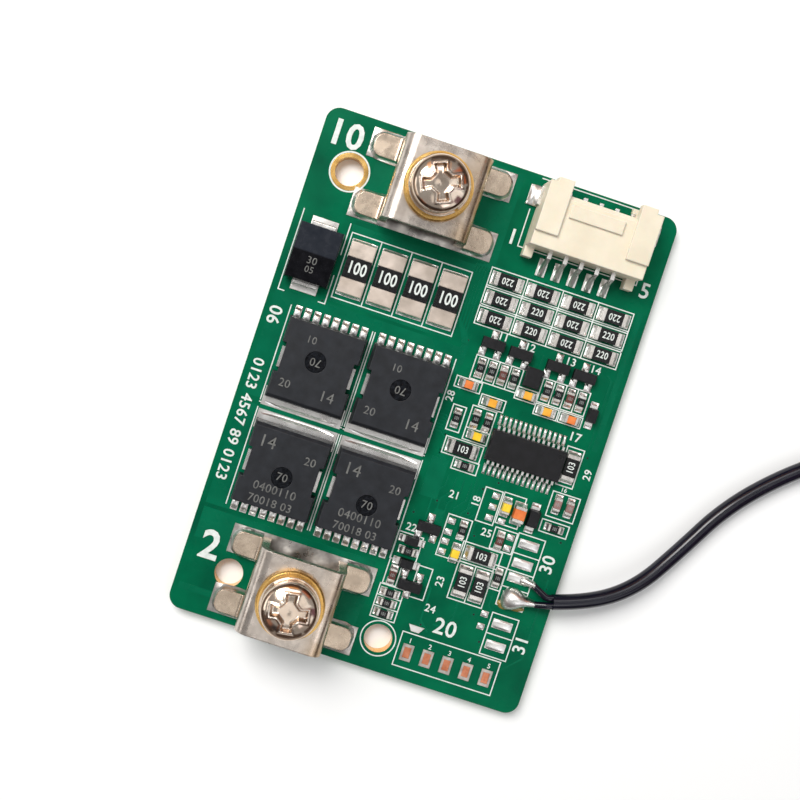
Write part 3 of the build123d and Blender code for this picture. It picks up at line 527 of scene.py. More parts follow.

# %% [markdown]
# ## Lead and screws
# The lead is soft, shiny PVC, and its end is dipped in resin. The screws are plated steel, nearly a
# mirror, so most of their look comes from what stands round them. A second, darker steel is painted on
# the recess walls as painted shade and on the rims as a painted dark reflection.

# %% Lead and screw finishes
cable = toned("cable_pvc", (0.002, 0.002, 0.007), (0.004, 0.004, 0.013), 0.0, 0.13, 0.2, 0.004,
              0.000004, 0.3, 0.0, 0.42)
toned("sensor_resin", (0.004, 0.004, 0.006), (0.010, 0.010, 0.014), 0.0, 0.2, 0.3, 0.0015, 0.00003, 0.4,
      0.0002)
steel = worn_with_edge_highlight("plated_steel", (0.60, 0.46, 0.36), (0.84, 0.72, 0.60), (0.95, 0.92, 0.88), 1.0, 0.08,
             0.18, 0.0024, 0.000004, 0.00022)
# Painted shade and painted dark reflection: this darker steel goes on the recess walls and the screw rims.
shade_and_reflection_steel = worn_with_edge_highlight("shade_and_reflection_steel", (0.20, 0.13, 0.09), (0.38, 0.27, 0.19), (0.8, 0.68, 0.52), 1.0,
                     0.12, 0.24, 0.0016, 0.000004, 0.0001)
print("finishes so far:", len(finishes))

# %% [markdown]
# ## Heat-stained bridges
# Soldering heats the bridges and leaves a brown stain towards their right bend. Their feet are painted
# warmer than the plate, as a painted warm reflection. Vertex paint could place this, but it would need a
# denser mesh. Two ramps, one along X and one up Z, place it from the object's own coordinates, and noise
# breaks up its border.

# %% Bridge finish
HEAT_STARTS, HEAT_ENDS = -0.0062, -0.0022
FEET_END, PLATE_STARTS = 0.003, 0.006
bridge_tin = finish("bridge_tin", (0.5, 0.46, 0.42), 1.0, 0.3)
tin_place = bridge_tin.node("ShaderNodeTexCoord")
tin_split = bridge_tin.node("ShaderNodeSeparateXYZ")
tin_heat = bridge_tin.node("ShaderNodeMapRange")
tin_heat.inputs["From Min"].default_value = HEAT_STARTS
tin_heat.inputs["From Max"].default_value = HEAT_ENDS
tin_heat.inputs["To Max"].default_value = 1.0
tin_noise = bridge_tin.effect("mottle", Size=0.0035, Low=0.25, High=1.0)
tin_mask = bridge_tin.node("ShaderNodeMath", operation="MULTIPLY")
bridge_tin.link(tin_place.outputs["Object"], tin_split.inputs[0])
bridge_tin.link(tin_split.outputs["X"], tin_heat.inputs["Value"])
bridge_tin.link(tin_heat.outputs["Result"], tin_mask.inputs[0])
bridge_tin.link(tin_noise.outputs["Value"], tin_mask.inputs[1])
# The pale edges of the plate are a painted highlight along its bends, with rubbing.
tin_base = bridge_tin.wear_and_edge_highlight(two_tone(bridge_tin, 0.0013, (0.47, 0.41, 0.36), (0.67, 0.60, 0.54)),
                           (0.88, 0.85, 0.79), 0.00014)
tin_height = bridge_tin.node("ShaderNodeMapRange")
tin_height.inputs["From Min"].default_value = FEET_END
tin_height.inputs["From Max"].default_value = PLATE_STARTS
bridge_tin.link(tin_split.outputs["Z"], tin_height.inputs["Value"])
tin_plate = bridge_tin.blend(tin_mask.outputs[0], tin_base, (0.44, 0.27, 0.11))
# The feet's warmer tone is a painted warm reflection.
foot_warm_reflection = two_tone(bridge_tin, 0.0016, (0.50, 0.40, 0.31), (0.68, 0.56, 0.44))
bridge_tin.colour(bridge_tin.blend(tin_height.outputs["Result"], foot_warm_reflection, tin_plate))
bridge_tin.rough(0.0018, 0.2, 0.34).bumps(0.0007, 0.000012, 0.5, 0.0002)
print("bridge finish has", len(bridge_tin.tree.nodes), "nodes")

# %% [markdown]
# ## Ink, laser marks and flux
# The legend is matt white ink. A laser only scorches the resin, so its marks are grey and faint, and the
# tiny values are greyer than the large ones. Flux dries to an amber varnish: a clear coat over a brown
# base gives it depth.

# %% Ink, mark and flux finishes
silk = toned("white_legend", (0.62, 0.68, 0.64), (0.82, 0.85, 0.82), 0.0, 0.5, 0.7, 0.0005, 0.00001,
             0.4, 0.00004, 0.2)
value_grey = toned("value_grey", (0.28, 0.29, 0.28), (0.42, 0.43, 0.42), 0.0, 0.5, 0.7, 0.0005, 0.00001,
                   0.4, 0.00004, 0.2)
mark = toned("laser_mark", (0.10, 0.10, 0.095), (0.20, 0.20, 0.19), 0.0, 0.5, 0.7, 0.0006, 0.00001, 0.4,
             0.00004, 0.2)
flux = toned("amber_flux", (0.24, 0.15, 0.03), (0.40, 0.30, 0.09), 0.0, 0.08, 0.2, 0.001, 0.00002, 0.3)
flux.set(Coat_Weight=0.6, Coat_Roughness=0.1)
print("finishes so far:", len(finishes))

# %% [markdown]
# ## A two-tone diode
# The power diode is paler over its marked half. The body could be cut in two, but it is one moulding. A
# steep ramp along Y changes the tone at the line instead.

# %% Diode finish
MARK_STARTS, MARK_ENDS = 0.01395, 0.01415
diode_mould = finish("diode_mould", (0.01, 0.01, 0.012), 0.0, 0.45)
diode_place = diode_mould.node("ShaderNodeTexCoord")
diode_split = diode_mould.node("ShaderNodeSeparateXYZ")
diode_step = diode_mould.node("ShaderNodeMapRange")
diode_step.inputs["From Min"].default_value = MARK_STARTS
diode_step.inputs["From Max"].default_value = MARK_ENDS
diode_mould.link(diode_place.outputs["Object"], diode_split.inputs[0])
diode_mould.link(diode_split.outputs["Y"], diode_step.inputs["Value"])
diode_dark = two_tone(diode_mould, 0.001, (0.001, 0.001, 0.002), (0.003, 0.003, 0.005))
diode_pale = two_tone(diode_mould, 0.001, (0.014, 0.017, 0.024), (0.022, 0.025, 0.033))
diode_mould.colour(diode_mould.blend(diode_step.outputs["Result"], diode_dark, diode_pale))
diode_mould.rough(0.001, 0.22, 0.3).bumps(0.0009, 0.00001, 0.5, 0.00014)
diode_mould.set(Specular_IOR_Level=0.12)

print("finishes:", len(finishes))

# %% [markdown]
# ## Finishes onto the CAD nodes
# Each CAD node is one kind of part, so one table says which finish it wears. Materials could be picked in
# the panel, node by node, but a table is quick to check against the board, and loops fill in the parts
# that come in pairs or fours.

# %% Dress the nodes
node_finish = {
    "circuit_board": "solder_mask", "hole_ring": "gold_plate", "terminal_pads": "dull_solder",
    "power_pads": "tinned_pad", "component_pads": "tinned_pad", "sensor_pads": "tinned_pad",
    "test_pads": "dull_pad", "test_pad_centres": "bare_copper", "spare_pads": "tinned_pad",
    "power_diode_body": "diode_mould", "power_diode_tabs": "bright_tin",
    "shunt_elements": "resistor_glaze", "shunt_ends": "shunt_end_tin",
    "header_housing": "header_nylon", "header_pins": "bright_tin", "header_anchors": "bright_tin",
    "controller_body": "black_mould", "controller_leads": "bright_tin",
    "small_transistor_bodies": "black_mould", "small_transistor_leads": "bright_tin",
    "square_chip": "black_mould", "small_diode_bodies": "black_mould", "small_diode_tabs": "bright_tin",
    "sensor_joints": "solder", "sensor_cores": "cable_pvc", "sensor_sleeve": "cable_pvc",
    "sensor_tip": "sensor_resin",
    "small_capacitor_bodies": "ceramic_yellow", "large_capacitor_bodies": "ceramic_orange",
}
for side in ("negative", "positive"):
    node_finish[side + "_bridge"] = "bridge_tin"
    node_finish[side + "_flat_washer"] = "gold_plate"
    node_finish[side + "_spring_washer"] = "plated_steel"
    node_finish[side + "_screw"] = "plated_steel"
for number in range(1, 5):
    node_finish[f"transistor_{number}_body"] = "mould_compound"
    node_finish[f"transistor_{number}_leads"] = "bright_tin"
for kind in ("balance_resistor", "large_resistor", "small_resistor"):
    node_finish[kind + "_bodies"] = "resistor_glaze"
for kind in ("balance_resistor", "large_resistor", "small_resistor", "small_capacitor", "large_capacitor"):
    node_finish[kind + "_ends"] = "chip_end_tin"
for name, thing in nodes.items():
    thing.data.materials.clear()
    thing.data.materials.append(finishes[node_finish[name]].material)
print("dressed", len(node_finish), "nodes")

# %% [markdown]
# ## Cut edge and plated holes
# A board is cut from a larger sheet, so its edge shows bare laminate, while its fixing holes are plated.
# Both are upright faces of one mesh. They get their own material slots, told apart by how near the rim
# they lie.

# %% Board edge and holes
RIM_X, RIM_Y = 20.5, 30.2
board = nodes["circuit_board"].data
board.materials.append(laminate.material)
board.materials.append(gold.material)
for polygon in board.polygons:
    if abs(polygon.normal.z) < 0.5:
        x, y = polygon.center.x / MM, polygon.center.y / MM
        on_edge = abs(x) > RIM_X or abs(y) > RIM_Y
        polygon.material_index = 1 if on_edge else 2
print("upright board faces:", sum(polygon.material_index > 0 for polygon in board.polygons))

# %% [markdown]
# ## Chips that differ from their group
# A few resistors are glazed pink or red, and the capacitors run from lemon to orange. They could be nodes
# of their own, but they share one with their kind. So only the faces near the given places change their
# material, and the mesh stays as it is.

# %% Tint single chips
def tint(node, finish_used, places, reach=0.9):
    """Gives the faces of the solids near these places their own finish."""
    mesh = nodes[node].data
    mesh.materials.append(finish_used.material)
    slot_index = len(mesh.materials) - 1
    for polygon in mesh.polygons:
        x, y = polygon.center.x / MM, polygon.center.y / MM
        for place_x, place_y in places:
            if abs(x - place_x) < reach and abs(y - place_y) < reach:
                polygon.material_index = slot_index
    print("tinted", len(places), "in", node)


tint("small_resistor_bodies", element_pink, [(19.15, -5.55), (20.7, -5.55)], 0.6)
tint("small_resistor_bodies", element_red, [(13.8, -12.0), (2.65, -20.0), (7.75, 7.35), (16.45, 7.2)], 0.6)
tint("small_capacitor_bodies", ceramic_orange, [(4.1, 5.0), (17.35, 4.8)])
tint("small_capacitor_bodies", ceramic_lemon, [(7.05, -0.7), (13.25, -7.8), (9.05, -15.1)])

# %% [markdown]
# ## The printed legend
# The legend is screen-printed ink, a few hundredths of a millimetre thick. An image texture could carry
# it, but thin strokes stay sharp at any distance and throw a faint shadow, as ink does. They start a
# little above the board, since the ink also runs over the copper.

# %% Legend strokes
LINE = 0.14
legend = Shape()
legend_low, legend_high = BOARD_TOP + 0.03, BOARD_TOP + 0.055


def legend_box(x0, y0, x1, y1, splits=(), rows=()):
    for xa, ya, xb, yb in ((x0, y0, x1, y0), (x0, y1, x1, y1), (x0, y0, x0, y1), (x1, y0, x1, y1)):
        legend.stroke([at(xa, ya), at(xb, yb)], LINE, legend_low, legend_high)
    for x in splits:
        legend.stroke([at(x, y0), at(x, y1)], LINE, legend_low, legend_high)
    for y in rows:
        legend.stroke([at(x0, y), at(x1, y)], LINE, legend_low, legend_high)


def legend_line(*points):
    legend.stroke([at(*point) for point in points], LINE, legend_low, legend_high)


print("legend lines are", LINE, "mm wide")

# %% [markdown]
# ## Boxes round the power parts
# Printed boxes tell the assembler where each part sits. Those of the balancing resistors, shunts and
# power transistors are large and regular, so a box with inner splits draws each group.

# %% Power part boxes
# Cell balancing resistors, with double lines between the rows
legend_box(24.9, 12.5, 43.2, 19.65, splits=(29.5, 34.1, 38.65), rows=(14.75, 15.0, 17.15, 17.4))
# Shunt resistors, power diode, power transistors
legend_box(7.4, 13.9, 22.8, 22.1, splits=(11.2, 15.08, 18.95))
legend_line((0.95, 13.0), (0.95, 23.2), (1.7, 23.2))
legend_line((6.9, 13.0), (6.9, 16.9))
legend_line((6.9, 19.6), (6.9, 23.2), (6.1, 23.2))
for x in (3.12, 13.55, 13.85, 24.25):
    legend_line((x, 24.6), (x, 36.6))
    legend_line((x, 37.6), (x, 50.0))
legend_line((3.12, 36.9), (13.55, 36.9))
legend_line((13.85, 36.95), (24.25, 36.95))
print("legend faces so far:", len(legend.faces))

# %% [markdown]
# ## Boxes round the small parts
# The small chips have no common pitch, so their boxes are listed as they are read off the board, from the
# upper end down. A loop over one table draws them.

# %% Small part boxes
# Chips, in the order of the board from the upper end
legend_box(26.5, 23.2, 32.55, 26.2, splits=(28.05, 29.5, 31.0))
legend_box(35.2, 23.35, 41.25, 26.35, splits=(36.7, 38.2, 39.7))
for box in (
    (25.0, 26.35, 28.25, 27.7), (32.45, 25.3, 35.05, 26.8), (35.25, 26.55, 38.2, 27.9),
    (38.4, 26.55, 41.3, 27.9), (28.6, 27.55, 31.7, 29.0), (25.7, 29.8, 27.35, 33.0),
    (28.0, 29.2, 31.05, 32.0), (28.0, 32.0, 31.05, 33.5), (26.1, 33.75, 30.9, 35.85),
    (27.8, 35.9, 31.0, 37.35), (40.65, 30.3, 42.8, 35.2), (40.7, 36.1, 44.2, 39.25),
    (40.5, 39.75, 44.0, 41.3), (32.7, 38.2, 34.9, 42.5), (35.1, 38.1, 37.9, 42.0),
    (29.4, 42.75, 32.45, 48.0), (32.2, 45.35, 37.2, 47.5), (35.4, 42.5, 38.2, 45.2),
    (36.75, 46.95, 38.3, 49.9), (24.1, 53.4, 27.2, 57.6), (24.2, 46.6, 27.4, 50.1),
    (27.9, 49.9, 29.7, 53.9), (24.3, 50.15, 25.95, 53.3),
):
    legend_box(*box)
legend_box(32.4, 47.85, 36.85, 52.6, splits=(34.62,))
legend_box(38.35, 42.3, 41.75, 51.5, rows=(44.8, 47.0, 49.1))
legend_box(38.35, 52.6, 41.75, 57.9, rows=(55.2,))
legend_line((24.1, 54.8), (27.2, 54.8))
legend_line((24.1, 56.2), (27.2, 56.2))
legend_box(28.6, 58.2, 41.25, 62.5)
legend_line((27.35, 0.35), (42.0, 0.35))
legend_line((27.0, 9.1), (42.3, 9.1))
legend_line((27.0, 4.4), (27.0, 9.1))
legend_line((42.3, 4.4), (42.3, 9.1))
UPPER_HOLE, LOWER_HOLE = (-17.75, 24.95), (3.45, -28.0)
legend.ring(*UPPER_HOLE, 2.32, 2.52, legend_low, legend_high)
legend.ring(*LOWER_HOLE, 2.1, 2.25, legend_low, legend_high)
legend_piece = legend.piece("legend_lines", "board")
legend_piece.data.materials.append(silk.material)

# %% [markdown]
# ## Printed numbers
# Beside the boxes stand printed numbers, which tell the assembler what goes where. They could be typed
# one by one in the viewport, but a table shows them all together and is quick to correct. It gives each
# number's middle, height and turn.

# %% Table of numbers
labels = [
    # text, x and y of the middle, height, turn in degrees
    ("10", 2.95, 3.05, 3.1, 0), ("2", 2.9, 55.6, 3.5, 0), ("06", 1.45, 26.35, 1.6, -90),
    ("0123 4567 89 0123", 1.45, 39.7, 1.35, -90), ("1", 26.05, 8.3, 1.9, 0), ("5", 43.55, 9.5, 1.9, 0),
    ("20", 33.4, 56.35, 2.0, 0), ("30", 42.95, 45.0, 1.6, 90), ("31", 42.95, 55.4, 1.6, 90),
    ("11", 28.9, 20.2, 0.95, 0), ("12", 32.4, 20.4, 0.95, 0), ("13", 37.7, 20.5, 0.95, 0),
    ("14", 40.9, 20.5, 0.95, 0), ("15", 33.6, 23.9, 0.95, 90), ("16", 41.9, 35.65, 0.55, 0),
    ("17", 41.1, 29.1, 1.1, 0), ("18", 32.1, 40.3, 0.95, 90), ("21", 29.3, 40.4, 0.95, 0),
    ("22", 25.55, 45.8, 0.95, 0), ("23", 31.0, 51.0, 0.95, 90), ("24", 30.9, 54.6, 0.95, 0),
    ("25", 34.5, 43.6, 0.95, 0), ("28", 25.0, 29.0, 0.95, 90), ("29", 44.1, 33.0, 0.95, 90),
]
print("printed numbers:", len(labels))

# %% [markdown]
# ## Numbers as thin pieces
# Text can be stamped with a texture or cut with a boolean. Here Blender's own text objects are extruded a
# little, turned into one mesh and removed again, so that each set of numbers is one piece. `weight`
# thickens the strokes, as ink spreads, and `stretch` narrows the digits.

# %% Numbers helper
def middles(node):
    return [legend_place(low, high) for low, high in solids(node)]


def numbers(items, name, height, finish_used, slot, thickness=0.02, weight=0.012, stretch=1.0):
    """Plain numbers as one thin raised piece."""
    made = []
    for text, x, y, size, turn in items:
        curve = bpy.data.curves.new(name, "FONT")
        curve.body = text
        curve.size = size * 1.4 * MM
        curve.extrude = thickness * MM / 2
        curve.offset = size * weight * MM
        curve.align_x = "CENTER"
        curve.align_y = "CENTER"
        curve.resolution_u = 3
        curve.space_character = 1.05
        thing = bpy.data.objects.new(name, curve)
        bpy.context.collection.objects.link(thing)
        px, py = at(x, y)
        thing.matrix_world = Matrix.Translation((px * MM, py * MM, height * MM)) \
            @ Matrix.Rotation(math.radians(turn), 4, "Z") @ Matrix.Diagonal((stretch, 1, 1, 1))
        made.append(thing)
    bpy.context.view_layer.update()
    shape = Shape()
    depsgraph = bpy.context.evaluated_depsgraph_get()
    for thing in made:
        mesh = bpy.data.meshes.new_from_object(thing.evaluated_get(depsgraph))
        verts = [thing.matrix_world @ v.co / MM for v in mesh.vertices]
        shape.add(verts, [list(p.vertices) for p in mesh.polygons])
        bpy.data.objects.remove(thing)
    piece = shape.piece(name, slot)
    piece.data.materials.append(finish_used.material)
    return piece


labels += [(str(index + 1), x, y - 1.5, 0.6, 0) for index, (x, y) in enumerate(middles("test_pads"))]
LABEL_HEIGHT = BOARD_TOP + 0.045
large_labels = [item for item in labels if item[3] > 3]
small_labels = [item for item in labels if item[3] <= 3]
numbers(large_labels, "legend_large", LABEL_HEIGHT, silk, "board", weight=0.035)
numbers(small_labels, "legend_numbers", LABEL_HEIGHT, silk, "board", weight=0.022)

# %% [markdown]
# ## Values on the resistors
# Resistors carry their value as three printed digits. A chip works either way round, so many of the
# numbers stand upside down. They are placed from the solids themselves, and the number on a chip that
# lies the other way is turned with it.

# %% Resistor values
shunt_marks = [("100", x, y, 1.5, 0) for x, y in middles("shunt_elements")]
numbers(shunt_marks, "shunt_numbers", top_of("shunt_elements") + 0.008, silk, "element",
        weight=0.03, stretch=0.74)
value_marks = [("220", x, y, 0.85, 180 if (round(x) + round(y)) % 3 else 0)
               for x, y in middles("balance_resistor_bodies")]
for low, high in solids("large_resistor_bodies"):
    turned = high[1] - low[1] > high[0] - low[0]
    value_marks.append(("103", *legend_place(low, high), 0.85, 90 if turned else 0))
numbers(value_marks, "value_numbers", top_of("balance_resistor_bodies") + 0.008, silk, "element",
        weight=0.02, stretch=0.8)
small_marks = []
for low, high in solids("small_resistor_bodies"):
    turned = high[1] - low[1] > high[0] - low[0] + 0.2
    small_marks.append(("101", *legend_place(low, high), 0.42, 90 if turned else 0))
numbers(small_marks, "small_value_numbers", top_of("small_resistor_bodies") + 0.006, value_grey,
        "element", thickness=0.012, weight=0.012, stretch=0.7)

# %% [markdown]
# ## Dimples of the power transistors
# An ejector pin of the mould leaves a round, slightly sunken spot on each power transistor, with a rough,
# dark floor. The CAD has the spot. A disc of rings with a random height gives its floor a real grain,
# which catches light better than a bump on one flat face.

# %% Dimple floors
dimples = Shape()
dimple_marks = []
for number in (1, 2, 3, 4):
    node = f"transistor_{number}_body"
    top = top_of(node)
    floor_points = [v.co / MM for v in nodes[node].data.vertices if abs(v.co.z / MM - top + 0.12) < 0.02]
    x = (min(p.x for p in floor_points) + max(p.x for p in floor_points)) / 2
    y = (min(p.y for p in floor_points) + max(p.y for p in floor_points)) / 2
    dimples.skin([[(x + 0.1 * k * math.cos(math.pi * i / 24), y + 0.1 * k * math.sin(math.pi * i / 24),
                    top - 0.115 + (random.uniform(0, 0.06) if 0 < k < 13 else 0)) for i in range(48)]
                  for k in range(14)], closed=True)
    dimple_marks.append(("70", *from_board(x, y), 1.0, 180 if number < 3 else 0))
dimples.piece("dimple_floors", "mould").data.materials.append(grain.material)
numbers(dimple_marks, "dimple_numbers", top - 0.04, mark, "mould", thickness=0.03, weight=0.004)

# %% [markdown]
# ## Laser marks
# Power parts are marked by laser. The marks lie in the resin, so they are far thinner than ink, and
# faint. The two rows of transistors are turned against each other, and their marks differ too.

# %% Laser marks
laser_marks = []
for number in (1, 2, 3, 4):
    low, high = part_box(f"transistor_{number}_body")
    x, y = from_board((low.x + high.x) / 2 / MM, (low.y + high.y) / 2 / MM)
    if number < 3:
        laser_marks += [("20", x - 3.0, y + 2.9, 1.0, 0), ("14", x + 2.3, y + 3.0, 1.3, 0),
                        ("01", x - 1.5, y - 3.1, 0.9, 180)]
    else:
        laser_marks += [("20", x + 2.9, y - 2.1, 1.0, 0), ("0400110", x - 0.1, y + 2.4, 1.05, 0),
                        ("70018 03", x - 0.2, y + 4.0, 1.0, 0), ("14", x - 2.7, y - 2.9, 1.5, 0)]
numbers(laser_marks, "laser_numbers", top_of("transistor_1_body") + 0.004, mark, "mould",
        thickness=0.006, weight=0.004)
numbers([("30", 3.9, 18.9, 0.9, 0), ("05", 3.9, 20.0, 0.8, 0)], "diode_numbers",
        top_of("power_diode_body") + 0.004, mark, "mould", thickness=0.006, weight=0.004)

# %% [markdown]
# ## Copper under the mask
# Under the green lacquer lies copper, and it shows as a faint step and a paler green. A bump map drawn
# from an image is the usual way. Real, very low steps need no image and shade properly at a low angle.
# The filled areas lie slightly under the tracks, so that no two faces coincide.

# %% Copper helpers
copper_shape = Shape()
TRACK_LOW, TRACK_HIGH = BOARD_TOP - 0.01, BOARD_TOP + 0.016


def area_of(x0, y0, x1, y1):
    px0, py0 = at(x0, y1)
    px1, py1 = at(x1, y0)
    copper_shape.bar(px0, py0, px1, py1, TRACK_LOW, TRACK_HIGH - 0.004)


def track(width, *points):
    copper_shape.stroke([at(*point) for point in points], width, TRACK_LOW, TRACK_HIGH)


print("tracks stand", round(TRACK_HIGH - BOARD_TOP, 3), "mm above the board")

# %% [markdown]
# ## Filled areas and tracks
# Wide areas carry the main current, and bundles of thin tracks run from the header towards the
# controller. A bundle is one path repeated with a small shift, so a loop draws it, and only the single
# tracks are listed.

# %% Areas and tracks
for filled in (
    (0.7, 23.0, 24.4, 36.5), (0.7, 37.4, 24.4, 50.6), (7.2, 12.9, 23.0, 17.0), (7.2, 18.9, 23.0, 22.6),
    (7.4, 0.7, 25.2, 12.3), (9.0, 51.1, 22.8, 61.6), (0.7, 51.1, 9.0, 55.0), (0.7, 60.8, 9.0, 61.6),
    (43.6, 12.0, 44.3, 30.0), (27.6, 42.6, 28.9, 49.5), (25.2, 36.6, 27.4, 41.6),
):
    area_of(*filled)
for index in range(5):
    shift = 0.42 * index
    track(0.2, (28.15 + 2 * index, 11.9), (28.15 + 2 * index - 0.4, 12.3), (24.7 - shift, 12.3 + 0.1 * index),
          (24.35 - shift * 0.9, 13.4), (24.35 - shift * 0.9, 21.0 - shift), (25.1 - shift * 0.4, 22.5),
          (25.1 - shift * 0.4, 25.0 + shift))
for index in range(6):
    y = 31.4 + 0.42 * index
    track(0.18, (24.6, y), (25.3, y), (25.9, y + 0.6), (25.9, y + 4.2 - 0.3 * index),
          (27.2, y + 5.5 - 0.3 * index))
for index in range(7):
    x = 27.9 + 1.0 * index
    track(0.18, (x, 38.4), (x, 39.6 + 0.35 * index), (x - 1.1, 40.9 + 0.35 * index), (x - 1.1, 44.5))
for points in (
    ((34.3, 20.8), (34.3, 22.4), (33.6, 23.1), (33.6, 24.6)),
    ((42.6, 20.6), (43.2, 21.2), (43.2, 30.4), (42.4, 31.2)),
    ((42.3, 36.0), (43.9, 37.6), (43.9, 40.2)),
    ((28.4, 50.4), (30.2, 52.2), (30.2, 56.2), (31.4, 57.4)),
    ((37.6, 49.8), (37.6, 52.0), (38.4, 52.8)), ((24.3, 52.0), (22.9, 53.4), (22.9, 57.0)),
    ((33.9, 52.9), (33.9, 55.0), (32.6, 56.3), (31.9, 56.3)),
    ((41.6, 59.0), (43.6, 57.0), (43.6, 46.8)), ((29.8, 36.0), (31.4, 37.6), (31.4, 41.4)),
):
    track(0.22, *points)
# The mask laps over the drain pads' ends and leaves a green strip between the two rows.
STRIP_LEFT, STRIP_RIGHT = -19.25, 1.65
STRIP_LOWER, STRIP_UPPER = -5.66, -5.14
copper_shape.bar(STRIP_LEFT, STRIP_LOWER, STRIP_RIGHT, STRIP_UPPER, BOARD_TOP, PAD_TOP + 0.02)
copper_piece = copper_shape.piece("copper_under_mask", "board")
copper_piece.data.materials.append(trace_green.material)

# %% [markdown]
# ## Vias
# A via is a plated hole that joins the two sides of the board. At this size only its raised rim and the
# dark hole are seen, so each is a ring and a small dark disc of painted shade, and the board isn't drilled.

# %% Vias
vias = Shape()
via_hole_shade = Shape()
for x, y in (
    (24.9, 21.9), (24.2, 25.6), (25.3, 28.6), (34.4, 22.8), (33.9, 29.3), (39.7, 29.4), (43.4, 31.0),
    (26.1, 38.4), (27.5, 41.7), (25.2, 43.9), (31.6, 42.0), (30.4, 56.8), (43.7, 47.9), (43.6, 41.9),
    (36.2, 53.6), (37.9, 56.6), (6.5, 22.9), (24.2, 36.9), (33.2, 44.4), (34.0, 37.3), (38.8, 23.0),
    (32.4, 38.6), (41.6, 24.6), (44.0, 28.2), (27.8, 44.0),
):
    px, py = at(x, y)
    vias.ring(px, py, 0.13, 0.27, TRACK_LOW, TRACK_HIGH + 0.01, 20)
    # The small dark disc is painted shade, where the hole would be dark.
    via_hole_shade.ring(px, py, 0.001, 0.14, TRACK_LOW, TRACK_LOW + 0.012, 16)
vias.piece("via_rims", "board").data.materials.append(trace_green.material)
via_hole_shade.piece("via_hole_shade", "board").data.materials.append(mould_black.material)

# %% [markdown]
# ## Concave fillets of solder
# Molten solder climbs the metal end of a chip and runs out over its pad, in a hollow curve. A fluid
# simulation would be far too much. Each fillet is a small wedge whose height falls off as a power of the
# distance, as long as the room that the part leaves on its own pad.

# %% Fillet helpers
pads = solids("component_pads") + solids("power_pads")
solder_shape = Shape()


def pad_under(low, high):
    x, y = (low[0] + high[0]) / 2, (low[1] + high[1]) / 2
    for pad_low, pad_high in pads:
        if pad_low[0] <= x <= pad_high[0] and pad_low[1] <= y <= pad_high[1]:
            return pad_low, pad_high
    return None


def fillet(face_x, face_y, ux, uy, width, reach, rise):
    """A concave wedge: from a point on the face, outwards along (ux, uy)."""
    steps, spans = 5, 4
    verts = []
    for i in range(steps + 1):
        t = i / steps
        for j in range(spans + 1):
            s = j / spans * 2 - 1
            squeeze = 1 - 0.16 * t * t
            distance = t * reach * (1 - 0.12 * s * s)
            z = PAD_TOP + rise * (1 - t) ** 2.1 * (1 - 0.12 * s * s)
            across = s * width / 2 * squeeze
            verts.append((face_x + ux * distance - uy * across, face_y + uy * distance + ux * across, z))
    faces = []
    for i in range(steps):
        for j in range(spans):
            a = i * (spans + 1) + j
            faces.append([a, a + spans + 1, a + spans + 2, a + 1])
    base = len(verts)
    for j in (0, spans):
        verts.append((verts[j][0], verts[j][1], PAD_TOP))
    for side, j in ((0, 0), (1, spans)):
        line = [i * (spans + 1) + j for i in range(steps + 1)]
        face = [base + side] + line
        faces.append(face if side == 0 else face[::-1])
    solder_shape.add(verts, faces)


print("pads that solder can sit on:", len(pads))

# %% [markdown]
# ## Fillets on the chips
# Every chip end is looked up on its pad, and the fillet goes to the side with the most free pad. Its
# height varies a little at random, since hand and oven never leave two joints alike.

# %% Chip fillets
count = 0
for node in ("balance_resistor_ends", "large_resistor_ends", "small_resistor_ends", "small_capacitor_ends",
             "large_capacitor_ends", "shunt_ends", "small_diode_tabs"):
    for low, high in solids(node):
        found = pad_under(low, high)
        if not found:
            print("no pad under", node, low)
            continue
        pad_low, pad_high = found
        rise = (high[2] - PAD_TOP) * random.uniform(0.62, 0.9)
        middle_x, middle_y = (low[0] + high[0]) / 2, (low[1] + high[1]) / 2
        sides = [(pad_high[0] - high[0], 1, 0), (low[0] - pad_low[0], -1, 0),
                 (pad_high[1] - high[1], 0, 1), (low[1] - pad_low[1], 0, -1)]
        reach, ux, uy = max(sides)
        if reach < 0.12:
            continue
        width = (high[1] - low[1]) if ux else (high[0] - low[0])
        face_x = high[0] if ux > 0 else low[0] if ux < 0 else middle_x
        face_y = high[1] if uy > 0 else low[1] if uy < 0 else middle_y
        fillet(face_x, face_y, ux, uy, width, reach, rise)
        count += 1

print("chip fillets:", count)

# %% [markdown]
# ## Power transistor joints
# The power transistors' leads and drain tabs sit on longer pads, and their solder runs down to the outer
# ends. A thin lead is also covered by a low cushion.

# %% Power joints
for number in (1, 2, 3, 4):
    low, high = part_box(f"transistor_{number}_body")
    middle = (low.y + high.y) / 2 / MM
    for low, high in solids(f"transistor_{number}_leads"):
        found = pad_under(low, high)
        if not found or high[2] > PAD_TOP + 0.6:
            continue
        outward = 1 if (low[1] + high[1]) / 2 > middle else -1
        edge = high[1] if outward > 0 else low[1]
        reach = (found[1][1] - edge) if outward > 0 else (edge - found[0][1])
        width = high[0] - low[0]
        wide = width > 1
        fillet((low[0] + high[0]) / 2, edge, 0, outward, width, reach * (0.55 if wide else 1), 0.36)
        if not wide:
            solder_shape.pillow(low[0], low[1] - 0.05, high[0], high[1] + 0.05, high[2] - 0.01, 0.12, 3.0)

print("solder faces so far:", len(solder_shape.faces))

# %% [markdown]
# ## Cushions on the pads
# Pads under thin leads, and pads with nothing on them, hold a low cushion of solder, held in shape by its
# surface tension. A grid whose height fades to nothing at the rim has that form.

